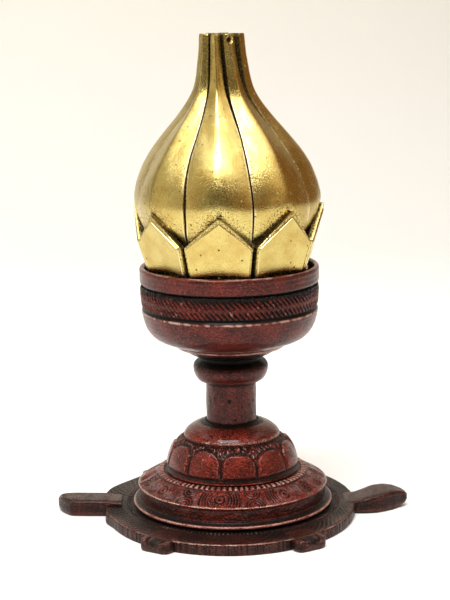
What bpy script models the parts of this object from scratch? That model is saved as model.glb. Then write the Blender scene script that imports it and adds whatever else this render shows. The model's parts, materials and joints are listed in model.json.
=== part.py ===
"""A brass lotus bud of eight hinged petals in a lacquered drum cup, on a stem, on a tortoise.

Sliding the cup down the stem lets the petals fall open round a seed pod.
Lengths below are in millimetres and angles in degrees; every mesh is made in metres.
The head of the tortoise points along +X, the stem is the Z axis and the foot rests on Z = 0.
"""

import math

import bmesh
import bpy
from mathutils import Matrix, Vector

MM = 0.001
BORE = 2.8  # hole for the spindle, all the way up the stack
SPINDLE_R = 2.5
SPINDLE_BOTTOM = 0.6
SPINDLE_TOP = 70.0

PLATE_MEAN_R = 35.9
PLATE_OVAL = 1.15  # the plate is this much wider across the feet than the mean, and narrower along the body
PLATE_EGG = 0.55  # and this much shorter at the head's end
PLATE_BULGES = ((160.0, 12.0, 1.9), (-167.0, 5.0, 0.9))  # azimuth, spread and height, beside the tail
PLATE_T = 3.2
FOOT_ANGLES = (-124.5, -60.5, 60.5, 124.5)
FOOT_REACH = 39.6
FOOT_WIDTH = 9.2
TIP_X = 48.9  # head and tail both end this far from the stem
TAIL_T = 4.4

STEM_R = 6.9
STEM_BOTTOM = 25.8
STEM_TOP = 58.0
SLEEVE_BORE = 7.15

RIM_Z = 70.0
CUP_SPIGOT_R = 8.7

PETALS = 8
PETAL_TURN = -99.0  # azimuth of the first petal's ridge
HINGE_R = 20.0
HINGE_Z = 66.0
LUG_R = 1.8
PIN_R = 0.6
PIN_BORE_R = 0.85
PIN_HALF = 4.95
EAR_IN = 2.7
EAR_OUT = 4.7
TONGUE_HALF = 2.4
FOOT_OF_PETAL = 68.3
SIDE_GAP = 0.2  # each petal side is set back this far from the plane between two petals
TIP_GAP = 0.4  # the same at the cut tips, where the fingers stand further apart
VALLEY = 0.895  # radius at the joint lines over radius at the ridge
SHELL_T = 2.1

# Height, ridge radius and thickness of one petal, from the cut tip down to its foot.
PETAL_LINE = (
    (131.8, 6.0, 3.8), (126.5, 6.4, 3.7), (120.5, 7.3, 3.4), (117.0, 8.1, 3.0), (114.2, 9.7, 2.6),
    (110.0, 12.9, 2.3), (105.7, 16.6, SHELL_T), (101.4, 20.2, SHELL_T), (97.2, 22.8, SHELL_T),
    (92.8, 24.5, SHELL_T), (88.5, 25.3, SHELL_T), (82.5, 24.3, SHELL_T), (76.5, 22.4, SHELL_T),
    (FOOT_OF_PETAL, 20.2, SHELL_T),
)
# The flat sepal plate on the petal's foot: height, distance from the stem and half width.
SEPAL_LINE = (
    (86.8, 26.3, 0.4), (78.0, 23.6, 8.8), (70.0, 21.15, 7.8), (FOOT_OF_PETAL, 20.65, 7.6),
)
SEPAL_T = 2.4


def clear_scene():
    for thing in list(bpy.data.objects):
        bpy.data.objects.remove(thing, do_unlink=True)


def make_collection(name, hidden=False):
    group = bpy.data.collections.new(name)
    bpy.context.scene.collection.children.link(group)
    group.hide_render = hidden
    return group


def finish_material(name, colour, metallic, roughness):
    material = bpy.data.materials.new(name)
    material.use_nodes = True
    shader = material.node_tree.nodes["Principled BSDF"]
    shader.inputs["Base Color"].default_value = (*colour, 1.0)
    shader.inputs["Metallic"].default_value = metallic
    shader.inputs["Roughness"].default_value = roughness
    material.diffuse_color = (*colour, 1.0)
    return material


FINISHES = {
    "brass": ((0.55, 0.40, 0.13), 1.0, 0.28),
    "dark_brass": ((0.36, 0.25, 0.09), 1.0, 0.45),
    "lacquer": ((0.19, 0.035, 0.025), 0.35, 0.38),
    "steel": ((0.52, 0.52, 0.52), 1.0, 0.35),
}


def place(name, mesh, group, finish=None, origin=(0.0, 0.0, 0.0)):
    """An object holding this mesh, with its own material and its origin moved to the given point."""
    shift = Vector(origin) * MM
    mesh.transform(Matrix.Translation(-shift))
    thing = bpy.data.objects.new(name, mesh)
    thing.location = shift
    group.objects.link(thing)
    if finish:
        mesh.materials.clear()
        mesh.materials.append(finish_material(name + "_finish", *FINISHES[finish]))
    if group.hide_render:
        thing.hide_render = True
        thing.display_type = "WIRE"
    return thing


def mesh_from(name, points, faces, edges=()):
    mesh = bpy.data.meshes.new(name)
    mesh.from_pydata([Vector(p) * MM for p in points], list(edges), list(faces))
    mesh.update()
    return mesh


def outward(mesh):
    """Turns the faces of a closed mesh to look outward."""
    work = bmesh.new()
    work.from_mesh(mesh)
    bmesh.ops.recalc_face_normals(work, faces=work.faces)
    work.to_mesh(mesh)
    work.free()
    return mesh


def turned(name, profile, group, finish=None, steps=64, loop=True):
    """A piece of turning: its half section, given down the outer side, is swept round the stem."""
    points = [(r, 0.0, z) for r, z in profile]
    edges = [(i, i + 1) for i in range(len(points) - 1)]
    if loop:
        edges.append((len(points) - 1, 0))
    thing = place(name, mesh_from(name, points, (), edges), group, finish)
    screw = thing.modifiers.new("turn", "SCREW")
    screw.axis = "Z"
    screw.angle = math.tau
    screw.steps = steps
    screw.render_steps = steps
    screw.use_merge_vertices = True
    screw.merge_threshold = 0.00001
    screw.use_smooth_shade = False
    return thing


def prism_mesh(name, outline, start, end, across="y"):
    """A closed prism: an outline in (x, z), or in (x, y) when across is z, pulled from start to end."""
    count = len(outline)
    if across == "y":
        points = [(a, start, b) for a, b in outline] + [(a, end, b) for a, b in outline]
    else:
        points = [(a, b, start) for a, b in outline] + [(a, b, end) for a, b in outline]
    faces = [tuple(range(count)), tuple(range(2 * count - 1, count - 1, -1))]
    for i in range(count):
        j = (i + 1) % count
        faces.append((i, i + count, j + count, j))
    return outward(mesh_from(name, points, faces))


def loft_mesh(name, sections):
    """A closed skin over sections that all have the same number of corners."""
    count = len(sections[0])
    points = [corner for section in sections for corner in section]
    faces = [tuple(range(count))]
    for row in range(len(sections) - 1):
        low, high = row * count, (row + 1) * count
        for i in range(count):
            j = (i + 1) % count
            faces.append((low + i, low + j, high + j, high + i))
    last = (len(sections) - 1) * count
    faces.append(tuple(range(last + count - 1, last - 1, -1)))
    return outward(mesh_from(name, points, faces))


def arc(cx, cy, radius, start, end, steps):
    """Points on a circle, from one angle to another."""
    angles = [math.radians(start + (end - start) * i / steps) for i in range(steps + 1)]
    return [(cx + radius * math.cos(a), cy + radius * math.sin(a)) for a in angles]


def spun(mesh, azimuth):
    """A copy of this mesh turned about the stem."""
    copy = mesh.copy()
    copy.transform(Matrix.Rotation(math.radians(azimuth), 4, "Z"))
    return copy


def merged(name, meshes):
    """Several meshes that don't touch, as one mesh."""
    work = bmesh.new()
    for mesh in meshes:
        work.from_mesh(mesh)
    result = bpy.data.meshes.new(name)
    work.to_mesh(result)
    work.free()
    return result


def combine(thing, other, operation):
    step = thing.modifiers.new(other.name, "BOOLEAN")
    step.operation = operation
    step.solver = "EXACT"
    step.object = other


def settled(thing, name):
    """The mesh of an object after all of its modifiers."""
    bpy.context.view_layer.update()
    graph = bpy.context.evaluated_depsgraph_get()
    mesh = bpy.data.meshes.new_from_object(thing.evaluated_get(graph))
    mesh.name = name
    mesh.materials.clear()
    return mesh


def plate_radius(azimuth):
    """Plan outline of the plate: an oval that is blunter at the tail, with two bulges beside the tail."""
    turn = math.radians(azimuth)
    radius = PLATE_MEAN_R - PLATE_OVAL * math.cos(2.0 * turn) - PLATE_EGG * math.cos(turn)
    for centre, spread, height in PLATE_BULGES:
        away = (azimuth - centre + 180.0) % 360.0 - 180.0
        radius += height * math.exp(-((away / spread) ** 2))
    return radius


def head_sections():
    """Blunt head with upright sides: sections across X that rise, then close in towards the nose."""
    shape = (
        (31.0, -5.6, 4.4, 0.0, 3.2), (34.5, -6.1, 3.6, 0.0, 3.7), (36.5, -6.4, 3.9, 0.0, 4.4),
        (39.5, -6.2, 5.2, 0.0, 5.1), (42.5, -4.9, 5.2, 0.0, 5.4), (45.0, -3.3, 4.2, 0.2, 5.3),
        (47.2, -1.6, 2.6, 0.8, 4.7), (TIP_X, -0.4, 1.0, 1.8, 3.7),
    )
    sections = []
    for x, near, far, low, top in shape:
        edge = min(0.7, 0.3 * (top - low), 0.3 * (far - near))
        sections.append([
            (x, near, low), (x, far, low), (x, far, top - edge), (x, far - edge, top),
            (x, near + edge, top), (x, near, top - edge),
        ])
    return sections


def plate_mesh(name, steps=72):
    """The plate with its boss and bore: rings of points, of which the two outer ones follow the plan outline."""
    profile = (
        (None, PLATE_T), (None, 0.0), (8.0, 0.0), (8.0, 4.2), (BORE, 4.2), (BORE, 6.5),
        (11.0, 6.5), (11.0, PLATE_T),
    )
    points = []
    for i in range(steps):
        azimuth = -180.0 + 360.0 * i / steps
        turn = math.radians(azimuth)
        for radius, z in profile:
            reach = plate_radius(azimuth) if radius is None else radius
            points.append((reach * math.cos(turn), reach * math.sin(turn), z))
    count = len(profile)
    faces = []
    for i in range(steps):
        here, there = i * count, (i + 1) % steps * count
        for k in range(count):
            n = (k + 1) % count
            faces.append((here + k, here + n, there + n, there + k))
    return outward(mesh_from(name, points, faces))


def make_plate(group, cutters):
    """The tortoise's underside: an oval plate with head, tail and four feet, and a recess for the nut."""
    plate = place("tortoise_plate", plate_mesh("tortoise_plate"), group, "lacquer")
    tail = prism_mesh("tail_block", (
        (-31.0, -3.4), (-36.0, -2.3), (-44.9, -1.4), (-47.5, 1.6), (-TIP_X, 5.4), (-48.2, 7.0),
        (-46.3, 7.5), (-36.0, 6.6), (-31.0, 6.2),
    ), 0.0, TAIL_T, "z")
    toe = 1.1
    wide = FOOT_WIDTH / 2
    foot = prism_mesh("foot_block", (
        (30.0, -wide), (FOOT_REACH - 1.2, -wide), (FOOT_REACH, -wide + toe), (FOOT_REACH, wide - toe),
        (FOOT_REACH - 1.2, wide), (30.0, wide),
    ), 0.0, PLATE_T, "z")
    add = [("head_part", loft_mesh("head_block", head_sections())), ("tail_part", tail),
           ("feet_part", merged("feet", [spun(foot, a) for a in FOOT_ANGLES]))]
    for name, mesh in add:
        combine(plate, place(name, mesh, cutters), "UNION")
    return plate


def make_foot_stack(group):
    """Engraved disc and shell dome, held down on the plate by the spindle."""
    turned("stepped_disc", (
        (19.9, 12.6), (20.6, 12.2), (26.2, 9.05), (25.8, 8.4), (25.8, 4.9), (27.6, 4.5), (27.6, 3.5),
        (24.4, 3.5), (24.2, 7.8), (19.5, 10.5), (12.0, 10.8), (12.0, 12.6),
    ), group, "lacquer", 56)
    turned("shell_dome", (
        (8.3, 26.2), (10.9, 25.1), (12.9, 23.7), (13.4, 22.3), (15.0, 21.4), (16.5, 19.3),
        (17.6, 16.6), (18.2, 12.9), (16.6, 12.9), (16.1, 16.4), (13.8, 20.1), (10.0, 22.4),
        (BORE, 23.0), (BORE, 25.5), (7.2, 25.5), (7.2, 26.2),
    ), group, "lacquer", 48)
    turned("stem_tube", (
        (STEM_R, STEM_TOP), (STEM_R, STEM_BOTTOM), (BORE, STEM_BOTTOM), (BORE, STEM_TOP),
    ), group, "lacquer", 40)


def make_hardware(group, cutters):
    """Spindle with the nut and washer that pull the stack together from below."""
    turned("spindle", (
        (0.0, SPINDLE_TOP), (SPINDLE_R - 0.5, SPINDLE_TOP), (SPINDLE_R, SPINDLE_TOP - 0.6),
        (SPINDLE_R, SPINDLE_BOTTOM + 0.5), (SPINDLE_R - 0.5, SPINDLE_BOTTOM), (0.0, SPINDLE_BOTTOM),
    ), group, "steel", 24, loop=False)
    turned("base_washer", (
        (7.0, 3.9), (7.0, 3.2), (BORE, 3.2), (BORE, 3.9),
    ), group, "steel", 32)
    nut = prism_mesh("base_nut", arc(0.0, 0.0, 5.6, 0.0, 300.0, 5), 0.5, 2.9, "z")
    nut = place("base_nut", nut, group, "steel")
    hole = prism_mesh("nut_hole", arc(0.0, 0.0, BORE, 0.0, 345.0, 23), -1.0, 4.0, "z")
    combine(nut, place("nut_hole", hole, cutters), "DIFFERENCE")


def make_cup(group, cutters):
    """The drum cup, the knop sleeve that runs on the stem, and the rings that hold them together."""
    turned("cup_bowl", (
        (24.4, RIM_Z), (24.3, 65.2), (23.8, 64.9), (24.2, 64.6), (24.0, 59.2), (23.5, 58.9),
        (23.9, 58.6), (23.5, 55.0), (22.4, 52.2), (19.4, 50.0), (15.2, 48.4), (15.2, 47.5),
        (10.6, 45.5), (9.0, 45.5), (9.0, 50.2), (14.5, 50.4), (20.0, 52.6), (22.2, 56.5),
        (22.8, RIM_Z),
    ), group, "lacquer", 56)
    turned("knop_sleeve", (
        (CUP_SPIGOT_R, 55.0), (CUP_SPIGOT_R, 45.2), (9.8, 45.2), (9.8, 44.7), (8.4, 44.2),
        (9.7, 43.2), (10.25, 42.2), (10.25, 41.0), (9.7, 39.3), (8.7, 38.1), (7.9, 37.8),
        (SLEEVE_BORE, 37.8), (SLEEVE_BORE, 40.7),
        (8.5, 40.7), (8.5, 43.1), (SLEEVE_BORE, 43.1), (SLEEVE_BORE, 55.0),
    ), group, "lacquer", 40)
    ring = turned("friction_ring", (
        (8.2, 42.8), (8.2, 41.0), (7.2, 41.0), (7.2, 42.8),
    ), group, "steel", 32)
    slit = prism_mesh("ring_slit", ((5.0, -1.4), (9.5, -1.4), (9.5, 1.4), (5.0, 1.4)), 40.0, 44.0, "z")
    combine(ring, place("ring_slit", slit, cutters), "DIFFERENCE")
    nut = turned("cup_ring_nut", (
        (12.6, 54.4), (13.4, 53.6), (13.4, 50.8), (9.0, 50.8), (9.0, 54.4),
    ), group, "dark_brass", 32)
    notch = prism_mesh("notch", ((12.0, -1.3), (15.0, -1.3), (15.0, 1.3), (12.0, 1.3)), 49.0, 56.0, "z")
    notches = merged("notches", [spun(notch, a) for a in (0.0, 90.0, 180.0, 270.0)])
    combine(nut, place("nut_notches", notches, cutters), "DIFFERENCE")


def make_carrier(group, cutters):
    """A disc on the stem top with a pair of hinge ears for each petal."""
    disc = turned("petal_carrier", (
        (18.5, 63.0), (18.5, 60.0), (7.6, 60.0), (6.8, 58.3), (BORE, 58.3), (BORE, 63.0),
    ), group, "dark_brass", 48)
    outline = [(17.2, 60.6), (HINGE_R + LUG_R, 60.6)]
    outline += arc(HINGE_R, HINGE_Z, LUG_R, 0.0, 180.0, 6) + [(17.2, 64.4)]
    pair = [prism_mesh("ear", outline, EAR_IN, EAR_OUT), prism_mesh("ear", outline, -EAR_OUT, -EAR_IN)]
    azimuths = petal_azimuths()
    ears = merged("ears", [spun(ear, a) for a in azimuths for ear in pair])
    combine(disc, place("ears_part", ears, cutters), "UNION")
    round_hole = arc(HINGE_R, HINGE_Z, PIN_BORE_R, 0.0, 315.0, 7)
    bore = prism_mesh("bore", round_hole, -6.0, 6.0)
    bores = merged("bores", [spun(bore, a) for a in azimuths])
    combine(disc, place("ear_bores", bores, cutters), "DIFFERENCE")
    pin = prism_mesh("pin", arc(HINGE_R, HINGE_Z, PIN_R, 0.0, 315.0, 7), -PIN_HALF, PIN_HALF)
    for number, azimuth in enumerate(azimuths, 1):
        place(f"hinge_pin_{number}", spun(pin, azimuth), group, "steel", hinge_point(azimuth))


def make_pod(group, cutters):
    """The seed pod in the heart of the bud: it screws down on the spindle and holds incense sticks."""
    pod = turned("seed_pod", (
        (0.0, 80.3), (8.4, 80.0), (9.3, 79.4), (9.5, 78.4), (9.1, 77.0), (7.6, 71.5), (6.4, 67.0), (6.6, 64.6),
        (6.6, 63.3), (BORE, 63.3), (BORE, 71.0), (0.0, 71.0),
    ), group, "brass", 32, loop=False)
    hole = prism_mesh("stick_hole", arc(0.0, 0.0, 1.3, 0.0, 324.0, 9), 73.0, 82.0, "z")
    copies = [hole]
    for number in range(6):
        copy = hole.copy()
        angle = math.radians(60.0 * number)
        copy.transform(Matrix.Translation(Vector((5.4 * math.cos(angle), 5.4 * math.sin(angle), 0.0)) * MM))
        copies.append(copy)
    combine(pod, place("stick_holes", merged("stick_holes", copies), cutters), "DIFFERENCE")


def petal_azimuths():
    return [PETAL_TURN + 360.0 / PETALS * k for k in range(PETALS)]


def hinge_point(azimuth):
    turn = math.radians(azimuth)
    return (HINGE_R * math.cos(turn), HINGE_R * math.sin(turn), HINGE_Z)


def side_point(radius, z, side):
    """A corner on the petal's side plane, at this radius from the stem."""
    half = math.radians(180.0 / PETALS)
    tip = min(1.0, max(0.0, (z - 105.0) / (PETAL_LINE[0][0] - 105.0)))
    gap = SIDE_GAP + (TIP_GAP - SIDE_GAP) * tip
    return (radius * math.cos(half), side * (radius * math.sin(half) - gap / math.cos(half)), z)


def petal_sections():
    """Six-cornered sections: two outer facets that meet in a ridge, two radial sides, a hollow inside."""
    sections = []
    for z, ridge, thickness in PETAL_LINE:
        inner = ridge - thickness
        sections.append([
            side_point(ridge * VALLEY, z, -1), (ridge, 0.0, z), side_point(ridge * VALLEY, z, 1),
            side_point(inner * 0.93, z, 1), (inner, 0.0, z), side_point(inner * 0.93, z, -1),
        ])
    return sections


def sepal_sections():
    """Flat plates in a row: the sepal leans out towards its point, above its two side corners."""
    sections = []
    for z, x, half in SEPAL_LINE:
        back = max(0.2, half - 1.2)
        sections.append([(x, -half, z), (x, half, z), (x - SEPAL_T, back, z), (x - SEPAL_T, -back, z)])
    return sections


def make_petals(group, cutters):
    """One petal is built at azimuth 0, with its sepal, tongue and hinge lug, and then repeated."""
    master = place("petal_master", loft_mesh("petal_master", petal_sections()), cutters)
    combine(master, place("sepal_part", loft_mesh("sepal_part", sepal_sections()), cutters), "UNION")
    outline = [(HINGE_R + LUG_R - 0.1, 69.4), (HINGE_R - 0.9, 69.4)]
    outline += arc(HINGE_R, HINGE_Z, LUG_R, 150.0, 360.0, 12)
    tongue = prism_mesh("tongue_part", outline, -TONGUE_HALF, TONGUE_HALF)
    combine(master, place("tongue_part", tongue, cutters), "UNION")
    bore = prism_mesh("lug_bore", arc(HINGE_R, HINGE_Z, PIN_BORE_R, 0.0, 315.0, 7), -5.0, 5.0)
    combine(master, place("lug_bore", bore, cutters), "DIFFERENCE")
    mesh = settled(master, "petal")
    for number, azimuth in enumerate(petal_azimuths(), 1):
        place(f"petal_{number}", spun(mesh, azimuth), group, "brass", hinge_point(azimuth))
    bpy.data.meshes.remove(mesh)


def main():
    clear_scene()
    group = make_collection("lotus_bud_on_tortoise")
    cutters = make_collection("cutters", hidden=True)
    make_plate(group, cutters)
    make_foot_stack(group)
    make_hardware(group, cutters)
    make_cup(group, cutters)
    make_carrier(group, cutters)
    make_pod(group, cutters)
    make_petals(group, cutters)


main()
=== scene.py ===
"""Looks for the lotus bud on a tortoise: brass petals, red lacquered cup and foot, and the studio round them."""

import json
import math

import bpy
import numpy as np
from bpy.props import FloatProperty, FloatVectorProperty, IntProperty, PointerProperty
from mathutils import Euler, Matrix, Vector


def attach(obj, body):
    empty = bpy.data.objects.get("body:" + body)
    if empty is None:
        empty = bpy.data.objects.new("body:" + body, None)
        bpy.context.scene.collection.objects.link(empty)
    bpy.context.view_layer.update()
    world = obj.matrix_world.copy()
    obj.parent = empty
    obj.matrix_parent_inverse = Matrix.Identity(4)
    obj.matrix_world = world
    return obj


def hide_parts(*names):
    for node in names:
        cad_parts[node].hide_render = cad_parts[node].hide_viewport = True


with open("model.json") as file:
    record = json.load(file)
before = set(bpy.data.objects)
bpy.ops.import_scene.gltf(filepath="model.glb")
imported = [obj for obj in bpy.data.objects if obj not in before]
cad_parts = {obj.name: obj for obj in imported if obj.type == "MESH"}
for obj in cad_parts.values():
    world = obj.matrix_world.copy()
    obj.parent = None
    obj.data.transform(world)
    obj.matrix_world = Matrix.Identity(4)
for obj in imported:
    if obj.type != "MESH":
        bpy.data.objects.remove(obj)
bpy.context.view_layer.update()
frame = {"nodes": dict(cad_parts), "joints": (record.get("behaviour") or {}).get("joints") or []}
MM = 0.001
TAU = 2.0 * math.pi

bl_info = {
    "name": "Lotus bud on a tortoise",
    "version": (1, 0, 0),
    "blender": (4, 5, 0),
    "location": "3D View > Sidebar > Lotus",
    "description": "Builds the petals, cup, stem and tortoise foot of an opening lotus bud round its hinges",
    "category": "Object",
}


# ---------------------------------------------------------------- settings


def amount(name, description, default, **limits):
    """A panel setting that is a plain number."""
    kind = IntProperty if isinstance(default, int) else FloatProperty
    return kind(name=name, description=description, default=default, **limits)


def colour_setting(name, description, default):
    return FloatVectorProperty(name=name, description=description, subtype="COLOR", default=default)


def length_setting(name, description, metres):
    return FloatProperty(name=name, description=description, default=metres, subtype="DISTANCE", unit="LENGTH")


def angle_setting(name, description, degrees):
    return FloatProperty(name=name, description=description, default=math.radians(degrees), subtype="ANGLE",
                         unit="ROTATION")


# ---------------------------------------------------------------- surfaces


def step(edge0, edge1, value):
    """Smooth step: 0 before edge0, 1 after edge1, and t*t*(3-2t) between them."""
    t = np.clip((value - edge0) / (edge1 - edge0), 0.0, 1.0)
    return t * t * (3.0 - 2.0 * t)


def bump(value, centre, width):
    """A bell that is 1 at centre: exp(-((value-centre)/width)^2)."""
    return np.exp(-(((value - centre) / width) ** 2))


def highest(*masks):
    """The greatest of several masks at each point."""
    return np.maximum.reduce(masks)


def ripple(theta, s, seed, waves=14, most=40, slope=1.0):
    """Sum of random waves cos(n theta + k s + phase), with whole n so that it closes round the stem; about -1..1."""
    random = np.random.default_rng(seed)
    n = random.integers(0, most, waves)
    k = random.uniform(-slope, slope, waves) * TAU
    phase = random.uniform(0.0, TAU, waves)
    total = np.zeros(np.broadcast(theta, s).shape)
    for a, b, c in zip(n, k, phase):
        total += np.cos(a * theta + b * s + c)
    return total / math.sqrt(waves) / 1.6


def resample(points, spacing, closed=True, soften=2):
    """A polyline made even: cut at equal arc lengths, then each point averaged with its neighbours (1, 2, 1)."""
    line = np.asarray(points, float)
    if closed:
        line = np.vstack([line, line[:1]])
    length = np.concatenate([[0.0], np.cumsum(np.linalg.norm(np.diff(line, axis=0), axis=1))])
    count = max(8, int(round(length[-1] / spacing)))
    at = np.linspace(0.0, length[-1], count, endpoint=not closed)
    line = np.stack([np.interp(at, length, line[:, i]) for i in range(line.shape[1])], axis=1)
    for _ in range(soften):
        if closed:
            line = (np.roll(line, 1, 0) + 2.0 * line + np.roll(line, -1, 0)) / 4.0
        else:
            line[1:-1] = (line[:-2] + 2.0 * line[1:-1] + line[2:]) / 4.0
    return line


def outward_normals(profile):
    """Unit normals of a closed section that runs down its outer side: the tangent turned by a quarter."""
    tangent = np.roll(profile, -1, 0) - np.roll(profile, 1, 0)
    tangent /= np.maximum(np.linalg.norm(tangent, axis=1, keepdims=True), 1e-9)
    return np.stack([-tangent[:, 1], tangent[:, 0]], axis=1)


def swept(profile, columns, relief=None):
    """A turned ring: x = r cos t, y = r sin t, with (r, z) on the section moved along its normal by relief(t, r, z)."""
    theta = np.linspace(0.0, TAU, columns, endpoint=False)[None, :]
    r = profile[:, 0:1] + 0.0 * theta
    z = profile[:, 1:2] + 0.0 * theta
    masks = {}
    if relief is not None:
        normal = outward_normals(profile)
        push, masks = relief(theta + 0.0 * r, r, z)
        r = r + normal[:, 0:1] * push + masks.pop("stretch", 0.0)
        z = z + normal[:, 1:2] * push
    grid = np.stack([r * np.cos(theta), r * np.sin(theta), z], axis=2)
    return {"grid": grid, "ring": True, "masks": masks}


def shell_arrays(part):
    """Vertices, quads or triangles, per-corner uv and masks of one closed grid; open ends close on a middle point."""
    grid = part["grid"]
    rows, columns, _ = grid.shape
    points = grid.reshape(-1, 3)
    count = rows if part["ring"] else rows - 1
    i, j = np.meshgrid(np.arange(count), np.arange(columns), indexing="ij")
    down, right = (i + 1) % rows, (j + 1) % columns
    quads = np.stack([i * columns + j, down * columns + j, down * columns + right, i * columns + right], axis=2)
    along = np.concatenate([[0.0], np.cumsum(np.linalg.norm(np.diff(grid[:, 0], axis=0), axis=1))])
    along = np.append(along, along[-1] + np.linalg.norm(grid[-1, 0] - grid[0, 0]))
    widest = grid[int(np.argmax(np.abs(grid[:, :, :2]).sum(axis=(1, 2))))]
    around = np.concatenate([[0.0], np.cumsum(np.linalg.norm(np.diff(widest, axis=0), axis=1))])
    around = np.append(around, around[-1] + np.linalg.norm(widest[-1] - widest[0]))
    u = np.stack([around[j], around[j], around[j + 1], around[j + 1]], axis=2)
    v = np.stack([along[i], along[i + 1], along[i + 1], along[i]], axis=2)
    masks = {key: value.reshape(-1) for key, value in part["masks"].items()}
    quads, uv = quads.reshape(-1, 4), np.stack([u, v], axis=3).reshape(-1, 4, 2)
    caps = []
    if not part["ring"]:
        for row, turned in ((0, True), (rows - 1, False)):
            centre = len(points)
            points = np.vstack([points, grid[row].mean(axis=0)])
            span = slice(row * columns, (row + 1) * columns)
            masks = {key: np.append(value, value[span].mean()) for key, value in masks.items()}
            a = row * columns + np.arange(columns)
            b = row * columns + (np.arange(columns) + 1) % columns
            middle = np.full(columns, centre)
            caps.append(np.stack([middle, a, b] if turned else [middle, b, a], axis=1))
    caps = np.vstack(caps) if caps else np.zeros((0, 3), int)
    p = points
    volume = (np.cross(p[quads[:, 0]], p[quads[:, 1]]) * p[quads[:, 2]]).sum()
    volume += (np.cross(p[quads[:, 0]], p[quads[:, 2]]) * p[quads[:, 3]]).sum()
    volume += (np.cross(p[caps[:, 0]], p[caps[:, 1]]) * p[caps[:, 2]]).sum() if len(caps) else 0.0
    if volume < 0:
        quads, uv, caps = quads[:, ::-1], uv[:, ::-1], caps[:, ::-1]
    return points, quads, uv, caps, masks


def make_piece(name, parts, material, body, nodes=(), smooth=50.0):
    """One object from one or more closed grids, with uv in millimetres and point masks, riding on a body."""
    points, quads, uvs, caps, masks, offset = [], [], [], [], {"recess": [], "worn": []}, 0
    for part in parts:
        p, q, uv, c, m = shell_arrays(part)
        points.append(p)
        quads.append(q + offset)
        caps.append(c + offset)
        uvs.append(uv)
        for key in masks:
            masks[key].append(m.get(key, np.zeros(len(p))))
        offset += len(p)
    points, quads, caps, uvs = np.vstack(points) * MM, np.vstack(quads), np.vstack(caps), np.vstack(uvs)
    mesh = bpy.data.meshes.new(name)
    mesh.vertices.add(len(points))
    mesh.vertices.foreach_set("co", points.astype(np.float32).ravel())
    loops = np.concatenate([quads.ravel(), caps.ravel()]).astype(np.int32)
    mesh.loops.add(len(loops))
    mesh.loops.foreach_set("vertex_index", loops)
    sizes = np.concatenate([np.full(len(quads), 4), np.full(len(caps), 3)])
    starts = np.concatenate([[0], np.cumsum(sizes)[:-1]]).astype(np.int32)
    mesh.polygons.add(len(sizes))
    mesh.polygons.foreach_set("loop_start", starts)
    mesh.update(calc_edges=True)
    layer = mesh.uv_layers.new(name="around_mm")
    flat = np.concatenate([uvs.reshape(-1, 2), points[caps.ravel()][:, :2] / MM]) if len(caps) else uvs.reshape(-1, 2)
    layer.data.foreach_set("uv", flat.astype(np.float32).ravel())
    for key, values in masks.items():
        attribute = mesh.attributes.new(key, "FLOAT", "POINT")
        attribute.data.foreach_set("value", np.clip(np.concatenate(values), 0.0, 1.0).astype(np.float32))
    mesh.validate()
    mesh.shade_smooth()
    mesh.set_sharp_from_angle(angle=math.radians(smooth))
    thing = bpy.data.objects.new(name, mesh)
    bpy.context.scene.collection.objects.link(thing)
    mesh.materials.append(material)
    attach(thing, body)
    if nodes:
        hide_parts(*nodes)
    return thing


def turned(name, section, columns, relief, finish, body, nodes, slot):
    """A piece that is one turned ring, with the finish of that name."""
    return make_piece(name, [swept(section, columns, relief)], material_of(finish), body, nodes, 60.0)


def capped(grid, recess, worn):
    """A grid whose rows are closed loops and whose two ends are closed by caps, with its masks."""
    return {"grid": grid, "ring": False, "masks": {"recess": recess, "worn": worn}}


def turn_about_stem(grid, azimuth):
    """Rotation about the stem: (x cos a - y sin a, x sin a + y cos a, z)."""
    c, s = math.cos(azimuth), math.sin(azimuth)
    return np.stack([grid[..., 0] * c - grid[..., 1] * s, grid[..., 0] * s + grid[..., 1] * c, grid[..., 2]], axis=-1)


def bar(outline, start, end, across, edge):
    """A short bar with rounded ends: the outline in (x, z) is carried along y, and drawn in by
    edge*(1-sqrt(1-e^2)) at each end."""
    loop = resample(outline, 0.3, soften=3)
    middle = loop.mean(axis=0)
    y = start + (end - start) * (0.5 - 0.5 * np.cos(np.linspace(0.0, math.pi, across)))
    near = np.clip(np.minimum(y - start, end - y) / edge, 0.0, 1.0)
    inset = edge * (1.0 - np.sqrt(1.0 - (1.0 - near) ** 2))
    spread = np.linalg.norm(loop - middle, axis=1).mean()
    shape = middle + (loop - middle)[None] * (1.0 - inset / spread)[:, None, None]
    grid = np.stack([shape[..., 0], y[:, None] + 0.0 * shape[..., 0], shape[..., 1]], axis=2)
    return {"grid": grid, "ring": False, "masks": {"worn": (1.0 - near)[:, None] * np.ones(len(loop))}}


def about_hinge(radius, start, end, count):
    """Points in (x, z) on a circle about a petal's hinge, between two angles in degrees."""
    a = np.radians(np.linspace(start, end, count, endpoint=end - start < 360.0))
    return np.stack([HINGE_R + radius * np.cos(a), HINGE_Z + radius * np.sin(a)], axis=1).tolist()


# ---------------------------------------------------------------- materials


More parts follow.
